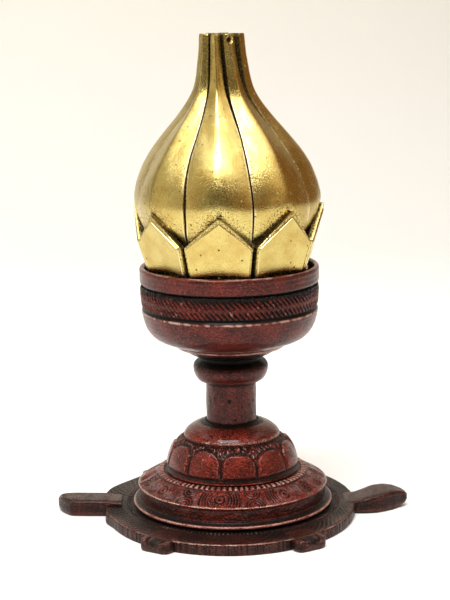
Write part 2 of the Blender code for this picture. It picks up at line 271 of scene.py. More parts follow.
class Tree:
    """A small helper that adds and joins shader nodes."""

    def __init__(self, tree):
        self.tree = tree

    def add(self, kind, inputs=None, **settings):
        node = self.tree.nodes.new(kind)
        for key, value in settings.items():
            setattr(node, key, value)
        for key, value in (inputs or {}).items():
            if isinstance(value, bpy.types.NodeSocket):
                self.join(value, node, key)
            else:
                node.inputs[key].default_value = value
        return node

    def join(self, value, node, socket):
        self.tree.links.new(value, node.inputs[socket])

    def maths(self, operation, a, b):
        return self.add("ShaderNodeMath", {0: a, 1: b}, operation=operation).outputs[0]

    def multiply_add(self, value, factor, more):
        return self.add("ShaderNodeMath", {0: value, 1: factor, 2: more}, operation="MULTIPLY_ADD").outputs[0]

    def remap(self, value, low, high, out_low=0.0, out_high=1.0):
        node = self.add("ShaderNodeMapRange", {"Value": value, "From Min": low, "From Max": high,
                                               "To Min": out_low, "To Max": out_high})
        return node.outputs["Result"]

    def bump(self, shader, height, distance, strength):
        node = self.add("ShaderNodeBump", {"Height": height, "Distance": distance, "Strength": strength})
        self.join(node.outputs[0], shader, "Normal")

    def mix(self, factor, a, b):
        node = self.add("ShaderNodeMix", data_type="RGBA")
        for socket, value in ((node.inputs[0], factor), (node.inputs[6], a), (node.inputs[7], b)):
            if isinstance(value, bpy.types.NodeSocket):
                self.tree.links.new(value, socket)
            elif isinstance(value, (int, float)):
                socket.default_value = value
            else:
                socket.default_value = (*value[:3], 1.0)
        return node.outputs[2]


def new_group(name, inputs, outputs):
    """A shader node group with named sockets; inputs hold their defaults."""
    group = bpy.data.node_groups.new(name, "ShaderNodeTree")
    for label, kind, value in inputs:
        socket = group.interface.new_socket(label, in_out="INPUT", socket_type=kind)
        socket.default_value = value
    for label, kind in outputs:
        group.interface.new_socket(label, in_out="OUTPUT", socket_type=kind)
    tree = Tree(group)
    return group, tree, tree.add("NodeGroupInput"), tree.add("NodeGroupOutput")


def sand_group():
    """Cast skin: fine sand, soft blotches and sparse round pits, all from the piece's own coordinates."""
    group, t, given, out = new_group(
        "cast_skin",
        [("Scale", "NodeSocketFloat", 1.0), ("Pit Share", "NodeSocketFloat", 0.12)],
        [("Sand", "NodeSocketFloat"), ("Blotch", "NodeSocketFloat"), ("Pits", "NodeSocketFloat")],
    )
    place = t.add("ShaderNodeTexCoord").outputs["Object"]
    sized = t.add("ShaderNodeVectorMath", {0: place}, operation="SCALE")
    t.join(given.outputs["Scale"], sized, "Scale")
    at = sized.outputs[0]
    fine = t.add("ShaderNodeTexNoise", {"Vector": at, "Scale": 2600.0, "Detail": 3.0, "Roughness": 0.65})
    broad = t.add("ShaderNodeTexNoise", {"Vector": at, "Scale": 190.0, "Detail": 4.0, "Roughness": 0.6})
    cells = t.add("ShaderNodeTexVoronoi", {"Vector": at, "Scale": 850.0}, feature="F1")
    chance = t.add("ShaderNodeSeparateColor", {"Color": cells.outputs["Color"]}).outputs[0]
    chosen = t.maths("LESS_THAN", chance, given.outputs["Pit Share"])
    dot = t.remap(cells.outputs["Distance"], 0.10, 0.24, 1.0, 0.0)
    t.join(fine.outputs[0], out, "Sand")
    t.join(broad.outputs[0], out, "Blotch")
    t.join(t.maths("MULTIPLY", dot, chosen), out, "Pits")
    return group


def mask_group():
    """The piece's carved masks, broken up by the cast skin: grime and painted shade in the recesses, and wear and
    painted highlights on the edges.
    """
    group, t, given, out = new_group(
        "grime_shade_wear_and_highlight",
        [("Sand", "NodeSocketFloat", 0.5), ("Blotch", "NodeSocketFloat", 0.5)],
        [("Grime and Shade", "NodeSocketFloat"), ("Wear and Highlight", "NodeSocketFloat")],
    )
    recess = t.add("ShaderNodeAttribute", attribute_name="recess").outputs["Fac"]
    worn = t.add("ShaderNodeAttribute", attribute_name="worn").outputs["Fac"]
    loose = t.multiply_add(given.outputs["Sand"], 1.5, -0.75)
    grime_and_shade = t.multiply_add(loose, 1.0, recess)
    t.join(t.remap(grime_and_shade, 0.30, 0.62), out, "Grime and Shade")
    patchy = t.maths("MULTIPLY", worn, t.remap(given.outputs["Blotch"], 0.35, 0.6, 0.35, 1.0))
    wear_and_highlight_level = t.multiply_add(loose, 0.8, patchy)
    t.join(t.remap(wear_and_highlight_level, 0.30, 0.75), out, "Wear and Highlight")
    return group


GROUPS = {}


def shared(name):
    """The node group that all the finishes use, made once."""
    if name not in GROUPS:
        GROUPS[name] = {"skin": sand_group, "masks": mask_group}[name]()
    return GROUPS[name]


def start_material(name, metallic, coat=0.0):
    """A principled material with the shared groups: material, tree, shader, cast skin and masks."""
    material = bpy.data.materials.new(name)
    material.use_nodes = True
    t = Tree(material.node_tree)
    shader = material.node_tree.nodes["Principled BSDF"]
    shader.inputs["Metallic"].default_value = metallic
    shader.inputs["Coat Weight"].default_value = coat
    shader.inputs["Coat Roughness"].default_value = 0.10
    skin = t.add("ShaderNodeGroup", node_tree=shared("skin"))
    masks = t.add("ShaderNodeGroup", {"Sand": skin.outputs["Sand"], "Blotch": skin.outputs["Blotch"]},
                  node_tree=shared("masks"))
    return material, t, shader, skin, masks


def shaded(colour, share):
    """A colour with every channel multiplied by share."""
    return [c * share for c in colour]


def tinted(colour, *shares):
    """A colour with each channel multiplied by its own share."""
    return [c * share for c, share in zip(colour, shares)]


# the brass's dark colour, for dirt and painted shade, and its pale colour, for wear and painted highlights
BRASS_DIRT_AND_SHADE, BRASS_WEAR_AND_HIGHLIGHT = (0.035, 0.022, 0.012), (0.98, 0.88, 0.58)
LACQUER_COAT = 0.32


def brass(name, colour, dull, rough, sand=0.5):
    """Polished cast brass: warmer and duller in blotches, sandy where it wasn't polished, dark in pits and seams and
    where shade is painted, pale where it is worn and where highlights are painted.
    """
    material, t, shader, skin, masks = start_material(name, 1.0)
    skin.inputs["Pit Share"].default_value = 0.10
    tone = t.remap(skin.outputs["Blotch"], 0.36, 0.66)
    base = t.mix(tone, colour, dull)
    grain = t.remap(skin.outputs["Sand"], 0.3, 0.75)
    base = t.mix(t.maths("MULTIPLY", grain, 0.40), base, shaded(colour, 0.40))
    base = t.mix(masks.outputs["Grime and Shade"], base, BRASS_DIRT_AND_SHADE)
    base = t.mix(t.maths("MULTIPLY", masks.outputs["Wear and Highlight"], 0.6), base, BRASS_WEAR_AND_HIGHLIGHT)
    base = t.mix(skin.outputs["Pits"], base, BRASS_DIRT_AND_SHADE)
    t.join(base, shader, "Base Color")
    roughness = t.multiply_add(grain, 0.16, rough)
    roughness = t.multiply_add(masks.outputs["Grime and Shade"], 0.35, roughness)
    t.join(roughness, shader, "Roughness")
    rise = t.maths("MULTIPLY", skin.outputs["Sand"], sand)
    rise = t.maths("SUBTRACT", rise, t.maths("MULTIPLY", skin.outputs["Pits"], 1.5))
    t.bump(shader, rise, 0.17 * MM, 0.9)
    return material


def lacquer(name, red, dark, worn, rough=0.26):
    """Red lacquer rubbed over metal: streaky deep and light red, near-black in every recess and where shade is painted,
    paler on rubbed edges and where highlights are painted.
    """
    material, t, shader, skin, masks = start_material(name, 0.62, LACQUER_COAT)
    shader.inputs["Specular IOR Level"].default_value = 0.2
    skin.inputs["Pit Share"].default_value = 0.30
    place = t.add("ShaderNodeTexCoord").outputs["Object"]
    flat = t.add("ShaderNodeVectorMath", {0: place, 1: (1.0, 1.0, 2.2)}, operation="MULTIPLY").outputs[0]
    fibres = {"Vector": flat, "Scale": 1500.0, "Detail": 4.0, "Roughness": 0.75}
    streak = t.add("ShaderNodeTexNoise", fibres).outputs[0]
    deep = t.mix(t.remap(skin.outputs["Blotch"], 0.40, 0.60), red, shaded(red, 0.40))
    light = [red[0] * 2.2 + 0.02, red[1] * 3.4 + 0.010, red[2] * 3.0 + 0.006]
    base = t.mix(t.remap(streak, 0.53, 0.68), deep, light)
    base = t.mix(t.remap(streak, 0.49, 0.36), base, [c * 0.12 + 0.001 for c in red])
    base = t.mix(t.maths("MULTIPLY", masks.outputs["Wear and Highlight"], 0.85), base, worn)
    base = t.mix(masks.outputs["Grime and Shade"], base, dark)
    base = t.mix(t.maths("MULTIPLY", skin.outputs["Pits"], 0.9), base, dark)
    t.join(base, shader, "Base Color")
    t.join(t.remap(masks.outputs["Grime and Shade"], 0.0, 1.0, LACQUER_COAT, 0.10), shader, "Coat Weight")
    roughness = t.remap(skin.outputs["Sand"], 0.3, 0.7, rough, rough + 0.14)
    roughness = t.multiply_add(masks.outputs["Grime and Shade"], 0.12, roughness)
    t.join(roughness, shader, "Roughness")
    rise = t.maths("SUBTRACT", t.maths("ADD", skin.outputs["Sand"], streak), skin.outputs["Pits"])
    t.bump(shader, rise, 0.22 * MM, 1.0)
    return material


def turned_steel(name):
    """Plain turned steel with fine rings and a little dull oxide."""
    material, t, shader, skin, _ = start_material(name, 1.0)
    place = t.add("ShaderNodeTexCoord").outputs["Object"]
    rings = t.add("ShaderNodeTexWave", {"Vector": place, "Scale": 900.0, "Distortion": 0.4}, bands_direction="Z")
    tone = t.remap(skin.outputs["Blotch"], 0.35, 0.65)
    base = t.mix(tone, (0.50, 0.49, 0.47), (0.30, 0.28, 0.25))
    t.join(base, shader, "Base Color")
    t.join(t.remap(rings.outputs["Fac"], 0.0, 1.0, 0.28, 0.42), shader, "Roughness")
    t.bump(shader, rings.outputs["Fac"], 0.02 * MM, 0.5)
    return material


MATERIALS = {}


def material_of(key):
    """The finish with this name, made the first time that it is asked for, from the colours in the panel."""
    if key in MATERIALS:
        return MATERIALS[key]
    look = bpy.context.scene.lotus_finish
    yellow, red, dark, worn = (tuple(colour) for colour in (
        look.brass_colour, look.lacquer_colour, look.recess_colour, look.worn_colour))
    make = {
        "petal": lambda: brass("petal_brass", yellow, tinted(yellow, 0.80, 0.70, 0.55), 0.15),
        "pod": lambda: brass("pod_brass", shaded(yellow, 0.85), shaded(yellow, 0.6), 0.30),
        "dark_brass": lambda: brass("aged_brass", shaded(yellow, 0.5), shaded(yellow, 0.3), 0.38, sand=0.8),
        "lacquer": lambda: lacquer("red_lacquer", red, dark, worn),
        "shell": lambda: lacquer("shell_lacquer", tinted(red, 1.40, 1.25, 1.15), dark, worn, 0.20),
        "plate": lambda: lacquer("plate_lacquer", tinted(red, 0.62, 0.95, 0.95), dark, worn, 0.32),
        "steel": lambda: turned_steel("turned_steel"),
    }
    MATERIALS[key] = make[key]()
    return MATERIALS[key]


def need(*names):
    """Stop with a plain message when a part of the frame that this step stands for isn't there."""
    missing = [name for name in names if name not in frame["nodes"]]
    if missing:
        raise RuntimeError("not in the frame: " + ", ".join(missing))


# ---------------------------------------------------------------- petals

TIP_Z, FOOT_Z = 131.8, 68.3
HINGE_R, HINGE_Z = 20.0, 66.0
FACE_COLUMNS, SIDE_COLUMNS, INNER_COLUMNS = 45, 5, 17
LEAN, LEAN_FROM, LEAN_OVER = 1.0, 70.0, 60.0
PETAL_Z = np.array([68.3, 72.0, 76.5, 82.5, 86.6, 88.5, 92.8, 97.2, 101.4, 105.7,
                    110.0, 114.2, 117.0, 120.5, 126.5, 131.8])
PETAL_R = np.array([20.2, 21.0, 22.4, 24.3, 25.25, 25.5, 24.6, 22.8, 20.2, 16.7, 13.0, 9.8, 8.2, 7.3, 6.4, 6.0])
PETAL_T = np.array([2.0, 2.0, 2.1, 2.1, 2.1, 2.1, 2.1, 2.1, 2.1, 2.1, 2.3, 2.6, 3.0, 3.4, 3.7, 3.8])

# How single petals differ, by number: the finger's turn and lift, how the border with the next petal wanders at the
# waist and at the finger, the side whose flank gets deeper painted shade, and the sepal's point (across, up), all in
# millimetres.
TWIST = {1: -0.25, 2: -0.85, 3: 0.25, 8: -0.15}
LIFT = {2: 0.25, 4: 0.2}
BORDER = {8: (1.0, -0.6), 1: (0.0, -1.1), 2: (0.0, -0.75)}
SHADED_FLANK = {8: 1, 2: -1}
POINT = {1: (0.55, -0.55), 2: (0.75, 0.35), 8: (-0.4, -0.8), 3: (0.3, 0.2)}
PITTED = 2


def smooth_line(z, knots, values):
    """A curve through the knots, eased by averaging the straight line over a 3 mm window."""
    total = np.zeros_like(z)
    for shift in np.linspace(-1.5, 1.5, 9):
        total += np.interp(np.clip(z + shift, knots[0], knots[-1]), knots, values)
    return total / 9.0


def chevron_height(y, look, apex, top):
    """Height of the sepal's top edge across the petal: straight lines from the point down to the two corners."""
    half = look.sepal_half
    fall = (y - apex) / np.where(y > apex, half - apex, half + apex)
    return top - (top - look.sepal_corner) * np.abs(fall)


def petal_shell(look, seed, twist, lift, apex, top, pitted, borders, shaded_flank):
    """One hollow petal at azimuth 0. Each level is a loop: two facets that meet in a ridge, x = R - drop*f(|y|/w),
    two flat radial sides, and the same curve set in by the thickness. The neck leans, twist turns its finger, and each
    border wanders by middle*bell(z at 88) + high*step(z from 104 to 118)."""
    z = np.linspace(TIP_Z, FOOT_Z, 190)

    def on_face(values):
        """A mask with these values on the petal's outer face and 0 on the rest of each loop."""
        mask = np.zeros((len(z), FACE_COLUMNS + INNER_COLUMNS + 2 * SIDE_COLUMNS))
        mask[:, :FACE_COLUMNS] = values
        return mask

    ridge = smooth_line(z, PETAL_Z, PETAL_R)
    thick = np.interp(z, PETAL_Z, PETAL_T)
    half_angle = math.pi / 8.0
    gap = look.joint_gap / 2.0 + 0.30 * step(104.0, 124.0, z) + 0.12 * step(80.0, 72.0, z)
    sharp = 0.20 + 0.75 * step(80.0, 111.0, z)
    drop = (1.0 - math.cos(half_angle)) * (1.0 - sharp) + (1.0 - 0.895 * math.cos(half_angle)) * sharp
    valley = (1.0 - drop) * ridge
    width = valley * math.tan(half_angle) - gap / math.cos(half_angle)
    t = np.sin(np.linspace(-math.pi / 2, math.pi / 2, FACE_COLUMNS))
    vee = (np.sqrt(t**2 + 0.0025) - 0.05) / (math.sqrt(1.0025) - 0.05)
    shape = sharp[:, None] * vee**1.12 + (1.0 - sharp[:, None]) * t**2
    y_out = width[:, None] * t
    wander = [middle * bump(z, 88.0, 8.0) + high * step(104.0, 118.0, z) for middle, high in borders]
    x_out = ridge[:, None] - (ridge - valley)[:, None] * shape
    above = z[:, None] - chevron_height(y_out, look, apex, top)
    flare = -0.45 * np.exp(-np.clip(above, 0.0, None) / 2.2) * step(-2.5, 0.0, above)
    x_out = x_out + flare + 0.05 * ripple(t * 3.0, z[:, None] / 9.0, seed, most=5)
    inner = ridge - thick
    w_in = np.minimum(width, (inner * math.cos(half_angle)) * math.tan(half_angle) * 0.98) - 0.05
    t_in = np.sin(np.linspace(math.pi / 2, -math.pi / 2, INNER_COLUMNS))
    y_in = np.maximum(w_in, 0.35)[:, None] * t_in
    x_in = inner[:, None] - (0.12 * inner)[:, None] * np.abs(t_in) ** 1.2
    share = np.linspace(0.0, 1.0, SIDE_COLUMNS + 2)[1:-1]
    right_x = x_out[:, -1:] + (x_in[:, :1] - x_out[:, -1:]) * share
    right_y = y_out[:, -1:] + (y_in[:, :1] - y_out[:, -1:]) * share
    x = np.concatenate([x_out, right_x, x_in, right_x[:, ::-1]], axis=1)
    y = np.concatenate([y_out, right_y, y_in, -right_y[:, ::-1]], axis=1)
    edge = on_face(step(0.9, 1.0, np.abs(t)) * 0.8)
    x = (np.roll(x, 1, 1) + 2 * x + np.roll(x, -1, 1)) / 4.0
    y = (np.roll(y, 1, 1) + 2 * y + np.roll(y, -1, 1)) / 4.0
    zz = z[:, None] + 0.0 * x
    hole = on_face(0.0)
    if pitted:
        hole = on_face(np.exp(-(((y_out + 0.25) ** 2 + (z[:, None] - 130.2) ** 2) / 0.42) ** 2))
        x = x - 1.1 * hole
    tip = step(TIP_Z - 0.7, TIP_Z, zz)
    zz = zz - tip * 0.35 * np.clip(ripple(np.arctan2(y, x - x.mean()), 0.0 * x, seed + 2, most=7), 0.0, 1.0)
    middle_x, middle_y = x.mean(axis=1, keepdims=True), y.mean(axis=1, keepdims=True)
    x = middle_x + (x - middle_x) * (1.0 - 0.10 * tip**2)
    y = middle_y + (y - middle_y) * (1.0 - 0.16 * tip**2)
    bend = step(109.0, TIP_Z, zz) ** 1.3
    across = np.clip(y / np.maximum(np.abs(y).max(axis=1, keepdims=True), 0.1), -1.0, 1.0)
    y = y + wander[0][:, None] * (1.0 - across) / 2.0 + wander[1][:, None] * (1.0 + across) / 2.0
    y = y + twist * bend
    x = x + lift * bend
    face_z = zz[:, :FACE_COLUMNS]
    # the stippled band just above the sepal is partly dark stipple and partly painted shade, deeper on the shaded
    # flank; under it, a painted shade over the first 9 mm above the sepal
    rough = step(0.0, 0.25, above) * np.exp(-((np.clip(above, 0.0, None) / 2.6) ** 2))
    heavy = 0.40 + (0.32 * step(-0.1, 0.35, shaded_flank * t) if shaded_flank else 0.04)
    band = rough * (heavy + 0.25 * ripple(t * 2.0, z[:, None] / 5.0, seed + 5, most=9))
    shade = 0.30 * step(0.0, 0.25, above) * step(9.0, 2.0, above)
    stain = 0.40 * step(111.0, 121.0, face_z)
    neck = stain * (0.62 + 0.55 * ripple(t * 4.0, z[:, None] / 12.0, seed + 9, most=8))
    low = step(70.6, 69.4, face_z) * 0.5
    # painted shade beside the joints, over dark stipple
    seam = 0.34 * step(0.66, 0.96, np.abs(t)) * step(85.0, 100.0, z[:, None])
    # a darker band round the waist: a painted dark reflection
    waist = 0.27 * bump(z[:, None], 92.0, 4.0)
    inside = np.zeros_like(x)
    inside[:, FACE_COLUMNS:] = 0.6
    inside[:, FACE_COLUMNS + SIDE_COLUMNS:-SIDE_COLUMNS] = 0.5
    recess = highest(inside, hole, *[on_face(mask) for mask in (np.maximum(band, shade), neck, low, seam, waist)])
    grid = np.stack([x, y, zz], axis=2)
    # pale along the borders below the neck: partly wear and partly painted highlight
    worn = edge * (1.0 - step(110.0, 125.0, zz))
    return capped(grid, recess, worn)


def sepal_plate(look, seed, apex, top):
    """The flat five-sided plate on the petal's foot. Rings run from its middle to its outline, over a bevelled border
    and down into the petal; the face is the plane x = x0 + (z - 78) tan(lean)."""
    low = 68.4

    def outline(peak, corner, half, foot_half):
        pts = [(apex, peak), (half, corner), (foot_half, low), (-foot_half, low), (-half, corner)]
        return resample(pts, 0.28)

    def shrunk(loop, share):
        return middle + (loop - middle) * share

    middle = np.array([0.0, 76.5])
    outer = outline(top, look.sepal_corner, look.sepal_half, 7.75)
    face = outline(top - 1.75, look.sepal_corner - 0.35, look.sepal_half - 0.4, 7.35)
    at, own = (np.linspace(0, 1, len(loop), endpoint=False) for loop in (outer, face))
    face = np.stack([np.interp(at, own, face[:, i], period=1.0) for i in range(2)], axis=1)
    # each ring with its depth below the face, its darkening (partly patina, partly painted shade on the bevel and down
    # the step's side) and its wear (partly a painted highlight along the face's edge and the outer edge)
    stations = [(shrunk(face, share), 0.0, 0.0, 0.0) for share in np.linspace(0.02, 0.97, 22)]
    stations += [
        (shrunk(face, 0.99), 0.0, 0.0, 0.9),
        (face, 0.10, 0.0, 0.9),
        (face * 0.8 + outer * 0.2, 0.28, 0.32, 0.0),
        (face * 0.45 + outer * 0.55, 0.34, 0.42, 0.0),
        (face * 0.12 + outer * 0.88, 0.38, 0.30, 0.3),
        (outer, 0.50, 0.0, 0.9),
        (outer, 0.75, 0.3, 0.0),
        (outer, 1.2, 0.6, 0.0),
        (outer, 2.0, 0.7, 0.0),
    ] + [(shrunk(outer, share), 2.3, 0.7, 0.0) for share in (0.9, 0.4, 0.02)]
    rings, depth, recess, worn = (np.array(column) for column in zip(*stations))
    y, z = rings[..., 0], rings[..., 1]
    x = look.sepal_x + (z - 78.0) * math.tan(math.radians(look.sepal_lean)) - depth[:, None]
    x = x + 0.03 * ripple(y / 3.0, z / 9.0, seed, most=4)
    grid = np.stack([x, y * (1.0 - 0.004 * (np.abs(y) / 8.8)), z], axis=2)
    patina_and_shade = recess[:, None] + 0.25 * step(70.9, 69.6, z)
    return capped(grid, patina_and_shade, worn[:, None] + 0 * x)


def tongue():
    """The narrow hinge tongue below the petal, with a round lug about the pin: one outline carried across."""
    outline = [(21.5, 69.4), (19.2, 69.4)] + about_hinge(1.75, 155.0, 360.0, 22)
    return bar(outline, -2.35, 2.35, 16, 0.3)


def hinges():
    """Name and azimuth of every petal, from the joints in the frame."""
    petals = [joint for joint in frame["joints"] if joint["child"].startswith("petal_")]
    return [(joint["child"], math.atan2(joint["pos_m"][1], joint["pos_m"][0])) for joint in petals]


class LotusPetals(bpy.types.PropertyGroup):
    joint_gap: amount("Joint gap", "Clear width between petals, in millimetres", 0.46, min=0.1)
    sepal_top: amount("Sepal point", "Height of the sepal's point, in millimetres", 86.7)
    sepal_corner: amount("Sepal corner", "Height of its side corners, in millimetres", 78.0)
    sepal_half: amount("Sepal half width", "Half its greatest width, in millimetres", 8.95)
    sepal_x: amount("Sepal reach", "Face to stem at the corners, in millimetres", 23.7)
    sepal_lean: amount("Sepal lean", "How far the face leans out, in degrees", 16.5)


class LOTUS_OT_petals(bpy.types.Operator):
    """Build each petal with its sepal plate, hinge tongue and lug"""

    bl_idname = "lotus.petals"
    bl_label = "Petals"

    def execute(self, context):
        need(*[f"petal_{k}" for k in range(1, 9)])
        look = context.scene.lotus_petals
        for name, azimuth in hinges():
            number = int(name.split("_")[1])
            borders = (BORDER.get((number - 2) % 8 + 1, (0, 0)), BORDER.get(number, (0, 0)))
            apex, rise = POINT.get(number, (0.0, 0.0))
            top = look.sepal_top + rise
            shell = petal_shell(look, 10 + number, TWIST.get(number, 0.1), LIFT.get(number, 0.0), apex, top,
                                number == PITTED, borders, SHADED_FLANK.get(number, 0))
            parts = [shell, sepal_plate(look, 40 + number, apex, top), tongue()]
            for part in parts:
                part["grid"] = turn_about_stem(part["grid"], azimuth)
            lean = shell["grid"]
            lean[..., 0] -= LEAN * np.clip((lean[..., 2] - LEAN_FROM) / LEAN_OVER, 0.0, 1.0) ** 1.3
            make_piece(name + "_brass", parts, material_of("petal"), name, [name], 38.0)
        return {"FINISHED"}


# ---------------------------------------------------------------- heart of the bud


POD_HOLES, POD_RING, POD_RIBS = 6, 5.4, 18


def pod_relief(theta, r, z):
    """Holes sunk in the flat top, one in the middle and the rest round it, each with a raised lip; ribs on the side."""
    x, y = r * np.cos(theta), r * np.sin(theta)
    near = np.hypot(x, y)
    for a in np.arange(POD_HOLES) * TAU / POD_HOLES:
        near = np.minimum(near, np.hypot(x - POD_RING * math.cos(a), y - POD_RING * math.sin(a)))
    top = step(79.2, 79.9, z)
    hole = step(1.45, 1.15, near) * top
    lip = bump(near, 1.75, 0.3) * top
    side = step(8.0, 8.8, r) * (1.0 - top)
    ribs = np.cos(POD_RIBS * theta)
    push = -5.0 * hole + 0.25 * lip + 0.12 * side * ribs
    return push, {"recess": np.clip(hole + 0.35 * side * (0.5 - 0.5 * ribs), 0, 1), "worn": lip}


class LOTUS_OT_heart(bpy.types.Operator):
    """Build the seed pod, the petal carrier with its hinge ears, and the hinge pins"""

    bl_idname = "lotus.heart"
    bl_label = "Heart of the bud"

    def execute(self, context):
        need("seed_pod", "petal_carrier", *[f"hinge_pin_{k}" for k in range(1, 9)])
        pod = resample([(0.15, 80.3), (8.4, 80.0), (9.3, 79.4), (9.5, 78.4), (9.1, 77.0), (7.6, 71.5), (6.4, 67.0),
                        (6.6, 64.6), (6.6, 63.35), (2.8, 63.35), (2.8, 71.0), (0.15, 71.0)], 0.2, soften=1)
        make_piece("seed_pod_brass", [swept(pod, 240, pod_relief)], material_of("pod"), "stand", ["seed_pod"])
        disc = resample([(18.5, 63.0), (18.5, 60.0), (7.6, 60.0), (6.8, 58.3), (2.8, 58.3), (2.8, 63.0)], 0.3)
        parts = [swept(disc, 160)]
        pins = []
        ear_outline = [(17.2, 60.8), (21.8, 60.8)] + about_hinge(1.8, 0.0, 180.0, 16) + [(17.2, 64.4)]
        for _, azimuth in hinges():
            for low, high in ((2.7, 4.7), (-4.7, -2.7)):
                ear = bar(ear_outline, low, high, 12, 0.25)
                ear["grid"] = turn_about_stem(ear["grid"], azimuth)
                parts.append(ear)
            pin = bar(about_hinge(0.75, 0.0, 360.0, 16), -4.95, 4.95, 14, 0.25)
            pin["grid"] = turn_about_stem(pin["grid"], azimuth)
            pins.append(pin)
        make_piece("petal_carrier_brass", parts, material_of("dark_brass"), "stand", ["petal_carrier"],
                   40.0)
        make_piece("hinge_pins_steel", pins, material_of("steel"), "stand",
                   [f"hinge_pin_{k}" for k in range(1, 9)], 40.0)
        return {"FINISHED"}


# ---------------------------------------------------------------- cup and knop


def gouge(theta, z, count, low, high, lean, seed):
    """Slanting gouges cut one after another, each steep on one side: a sawtooth in count*theta/2pi + lean*share, where
    share runs from 0 at low to 1 at high."""
    wander = 0.35 * ripple(theta, z / 40.0, seed, most=30, slope=0.3)
    share = np.clip((z - low) / (high - low), 0.0, 1.0)
    phase = count * theta / TAU + lean * share - 0.12 * np.sin(share * math.pi) + 0.35 * wander
    saw = phase - np.floor(phase)
    return np.minimum(saw / 0.25, (1.0 - saw) / 0.75)


CUP_MIDDLE = np.array([(45.0, 9.0), (50.0, 14.0), (50.6, 18.0), (52.0, 20.3), (54.0, 22.0), (56.5, 23.0), (70.0, 23.1)])


def cup_relief(theta, r, z):
    """Faint turning waves, a hand-made wobble and two grooves on the outside; painted shade inside the bowl and under
    it, dark in the grooves, and pale in places along the rim, the shoulder and the foot, from wear and from painted
    highlights and reflections."""
    outside = step(22.9, 23.3, r) * step(45.6, 47.0, z)
    low = ripple(theta, z / 14.0, 3, most=14)
    push = 0.05 * low * outside + 0.03 * np.cos(z * TAU / 1.3) * outside
    grooves = 0.38 * (bump(z, 65.05, 0.42) + bump(z, 58.65, 0.40)) * step(23.0, 23.4, r)
    push = push - grooves
    darkening = np.clip(1.25 * (bump(z, 65.0, 0.55) + bump(z, 58.75, 0.6)), 0, 1) * step(22.9, 23.4, r)
    foot = 0.6 * bump(z, 48.5, 0.25) * step(13.0, 14.5, r) * (r < 16.2)
    # painted shade under the bowl, round the knop
    under = step(13.6, 12.0, r) * step(50.0, 48.5, z)
    middle = np.interp(z, CUP_MIDDLE[:, 0], CUP_MIDDLE[:, 1])
    # painted shade inside the bowl
    inside = step(middle + 0.15, middle - 0.15, r) * step(46.5, 50.0, z) * 0.75 * step(69.9, 69.2, z)
    line = bump(z, 52.6, 0.22) * 0.4 * step(0.2, 0.8, ripple(theta, z / 60.0, 8, most=6)) * outside
    lip = bump(z, 69.95, 0.35) * step(22.7, 23.0, r)
    broken = 0.55 + 0.75 * ripple(theta, z / 9.0, 9, waves=30, most=70)
    ring = bump(z, 49.3, 0.45) * step(15.5, 16.5, r) * (r < 20.5)
    shoulder = bump(z, 57.85, 0.4) * outside * np.clip(broken + 0.25, 0, 1)
    # pale marks: painted highlights along the shoulder and just above the upper groove, wear and painted highlight on
    # the rim's lip, and wear and painted reflection on the foot and its ring underneath
    worn = highest(lip * (0.55 + 0.3 * broken), shoulder, bump(z, 65.75, 0.2) * 0.4 * outside,
                   bump(z, 48.05, 0.35) * step(14.6, 15.0, r), ring)
    return push, {"recess": highest(darkening, foot, under, inside, line), "worn": worn}


def rope_relief(theta, r, z):
    """The rope band: two rows of slanting gouges with a smoother strip between them, torn and black along the upper
    edge."""
    look = bpy.context.scene.lotus_cup
    tooth = gouge(theta, z, look.gouges, 59.3, 64.6, look.gouge_lean, 21)
    outside = step(23.4, 23.7, r)
    fade = step(58.9, 59.5, z) * step(64.9, 63.6, z)
    torn = ripple(theta, z / 2.0, 22, waves=40, most=120, slope=1.0)
    row = np.maximum(step(61.7, 62.6, z), step(61.5, 60.6, z))
    rise = -0.50 + 0.62 * (1.0 - (1.0 - tooth**0.55) * (0.4 + 0.6 * row))
    push = rise * outside * fade + 0.20 * torn * outside * step(61.6, 63.2, z)
    deep = step(0.55, 0.15, tooth) * outside * (0.30 + 0.70 * row)
    black = step(62.9, 64.2, z + 0.75 * torn) * outside
    ends = np.clip(bump(z, 64.9, 0.5) + bump(z, 58.9, 0.45), 0, 1) * outside
    # the gouges' ridges pale, partly from wear and partly as painted highlight
    worn = step(0.30, 0.60, tooth) * outside * fade * np.maximum(0.16, step(0.45, 0.85, torn) * 0.55)
    return push, {"recess": highest(0.95 * deep, 0.66 * black, ends), "worn": worn}


def knop_relief(theta, r, z):
    """Small dents all over the bead, shaded above, with a dark ring under the cup and at the lower lip."""
    outside = step(7.3, 7.6, r) * step(46.0, 45.0, z)
    push = 0.07 * ripple(theta, z / 9.0, 31, most=16) * outside
    # the dark band under the cup: black patina and painted shade
    upper = step(42.2, 43.2, z + 0.3 * ripple(theta, z / 9.0, 32, most=12))
    dark = np.maximum(upper, 0.7 * step(38.1, 37.8, z)) * outside
    # painted shade over the whole bead, deeper on its upper half
    shade = (0.24 + 0.22 * step(40.4, 42.0, z)) * outside
    worn = bump(z, 38.7, 0.35) * outside * 0.5
    return push, {"recess": highest(dark, shade, (1.0 - outside) * 0.6), "worn": worn}


def knurl(theta, r, _):
    """Straight knurling on the outer face: cos(60 t)."""
    face = step(13.0, 13.3, r)
    return 0.15 * np.cos(60 * theta) * face, {"recess": face * (0.5 - 0.5 * np.cos(60 * theta))}


class LotusCup(bpy.types.PropertyGroup):
    gouges: amount("Gouges", "Slanting cuts round the cup", 104, min=8)
    gouge_lean: amount("Gouge slant", "Pitches that a gouge slants over the band", 3.3)


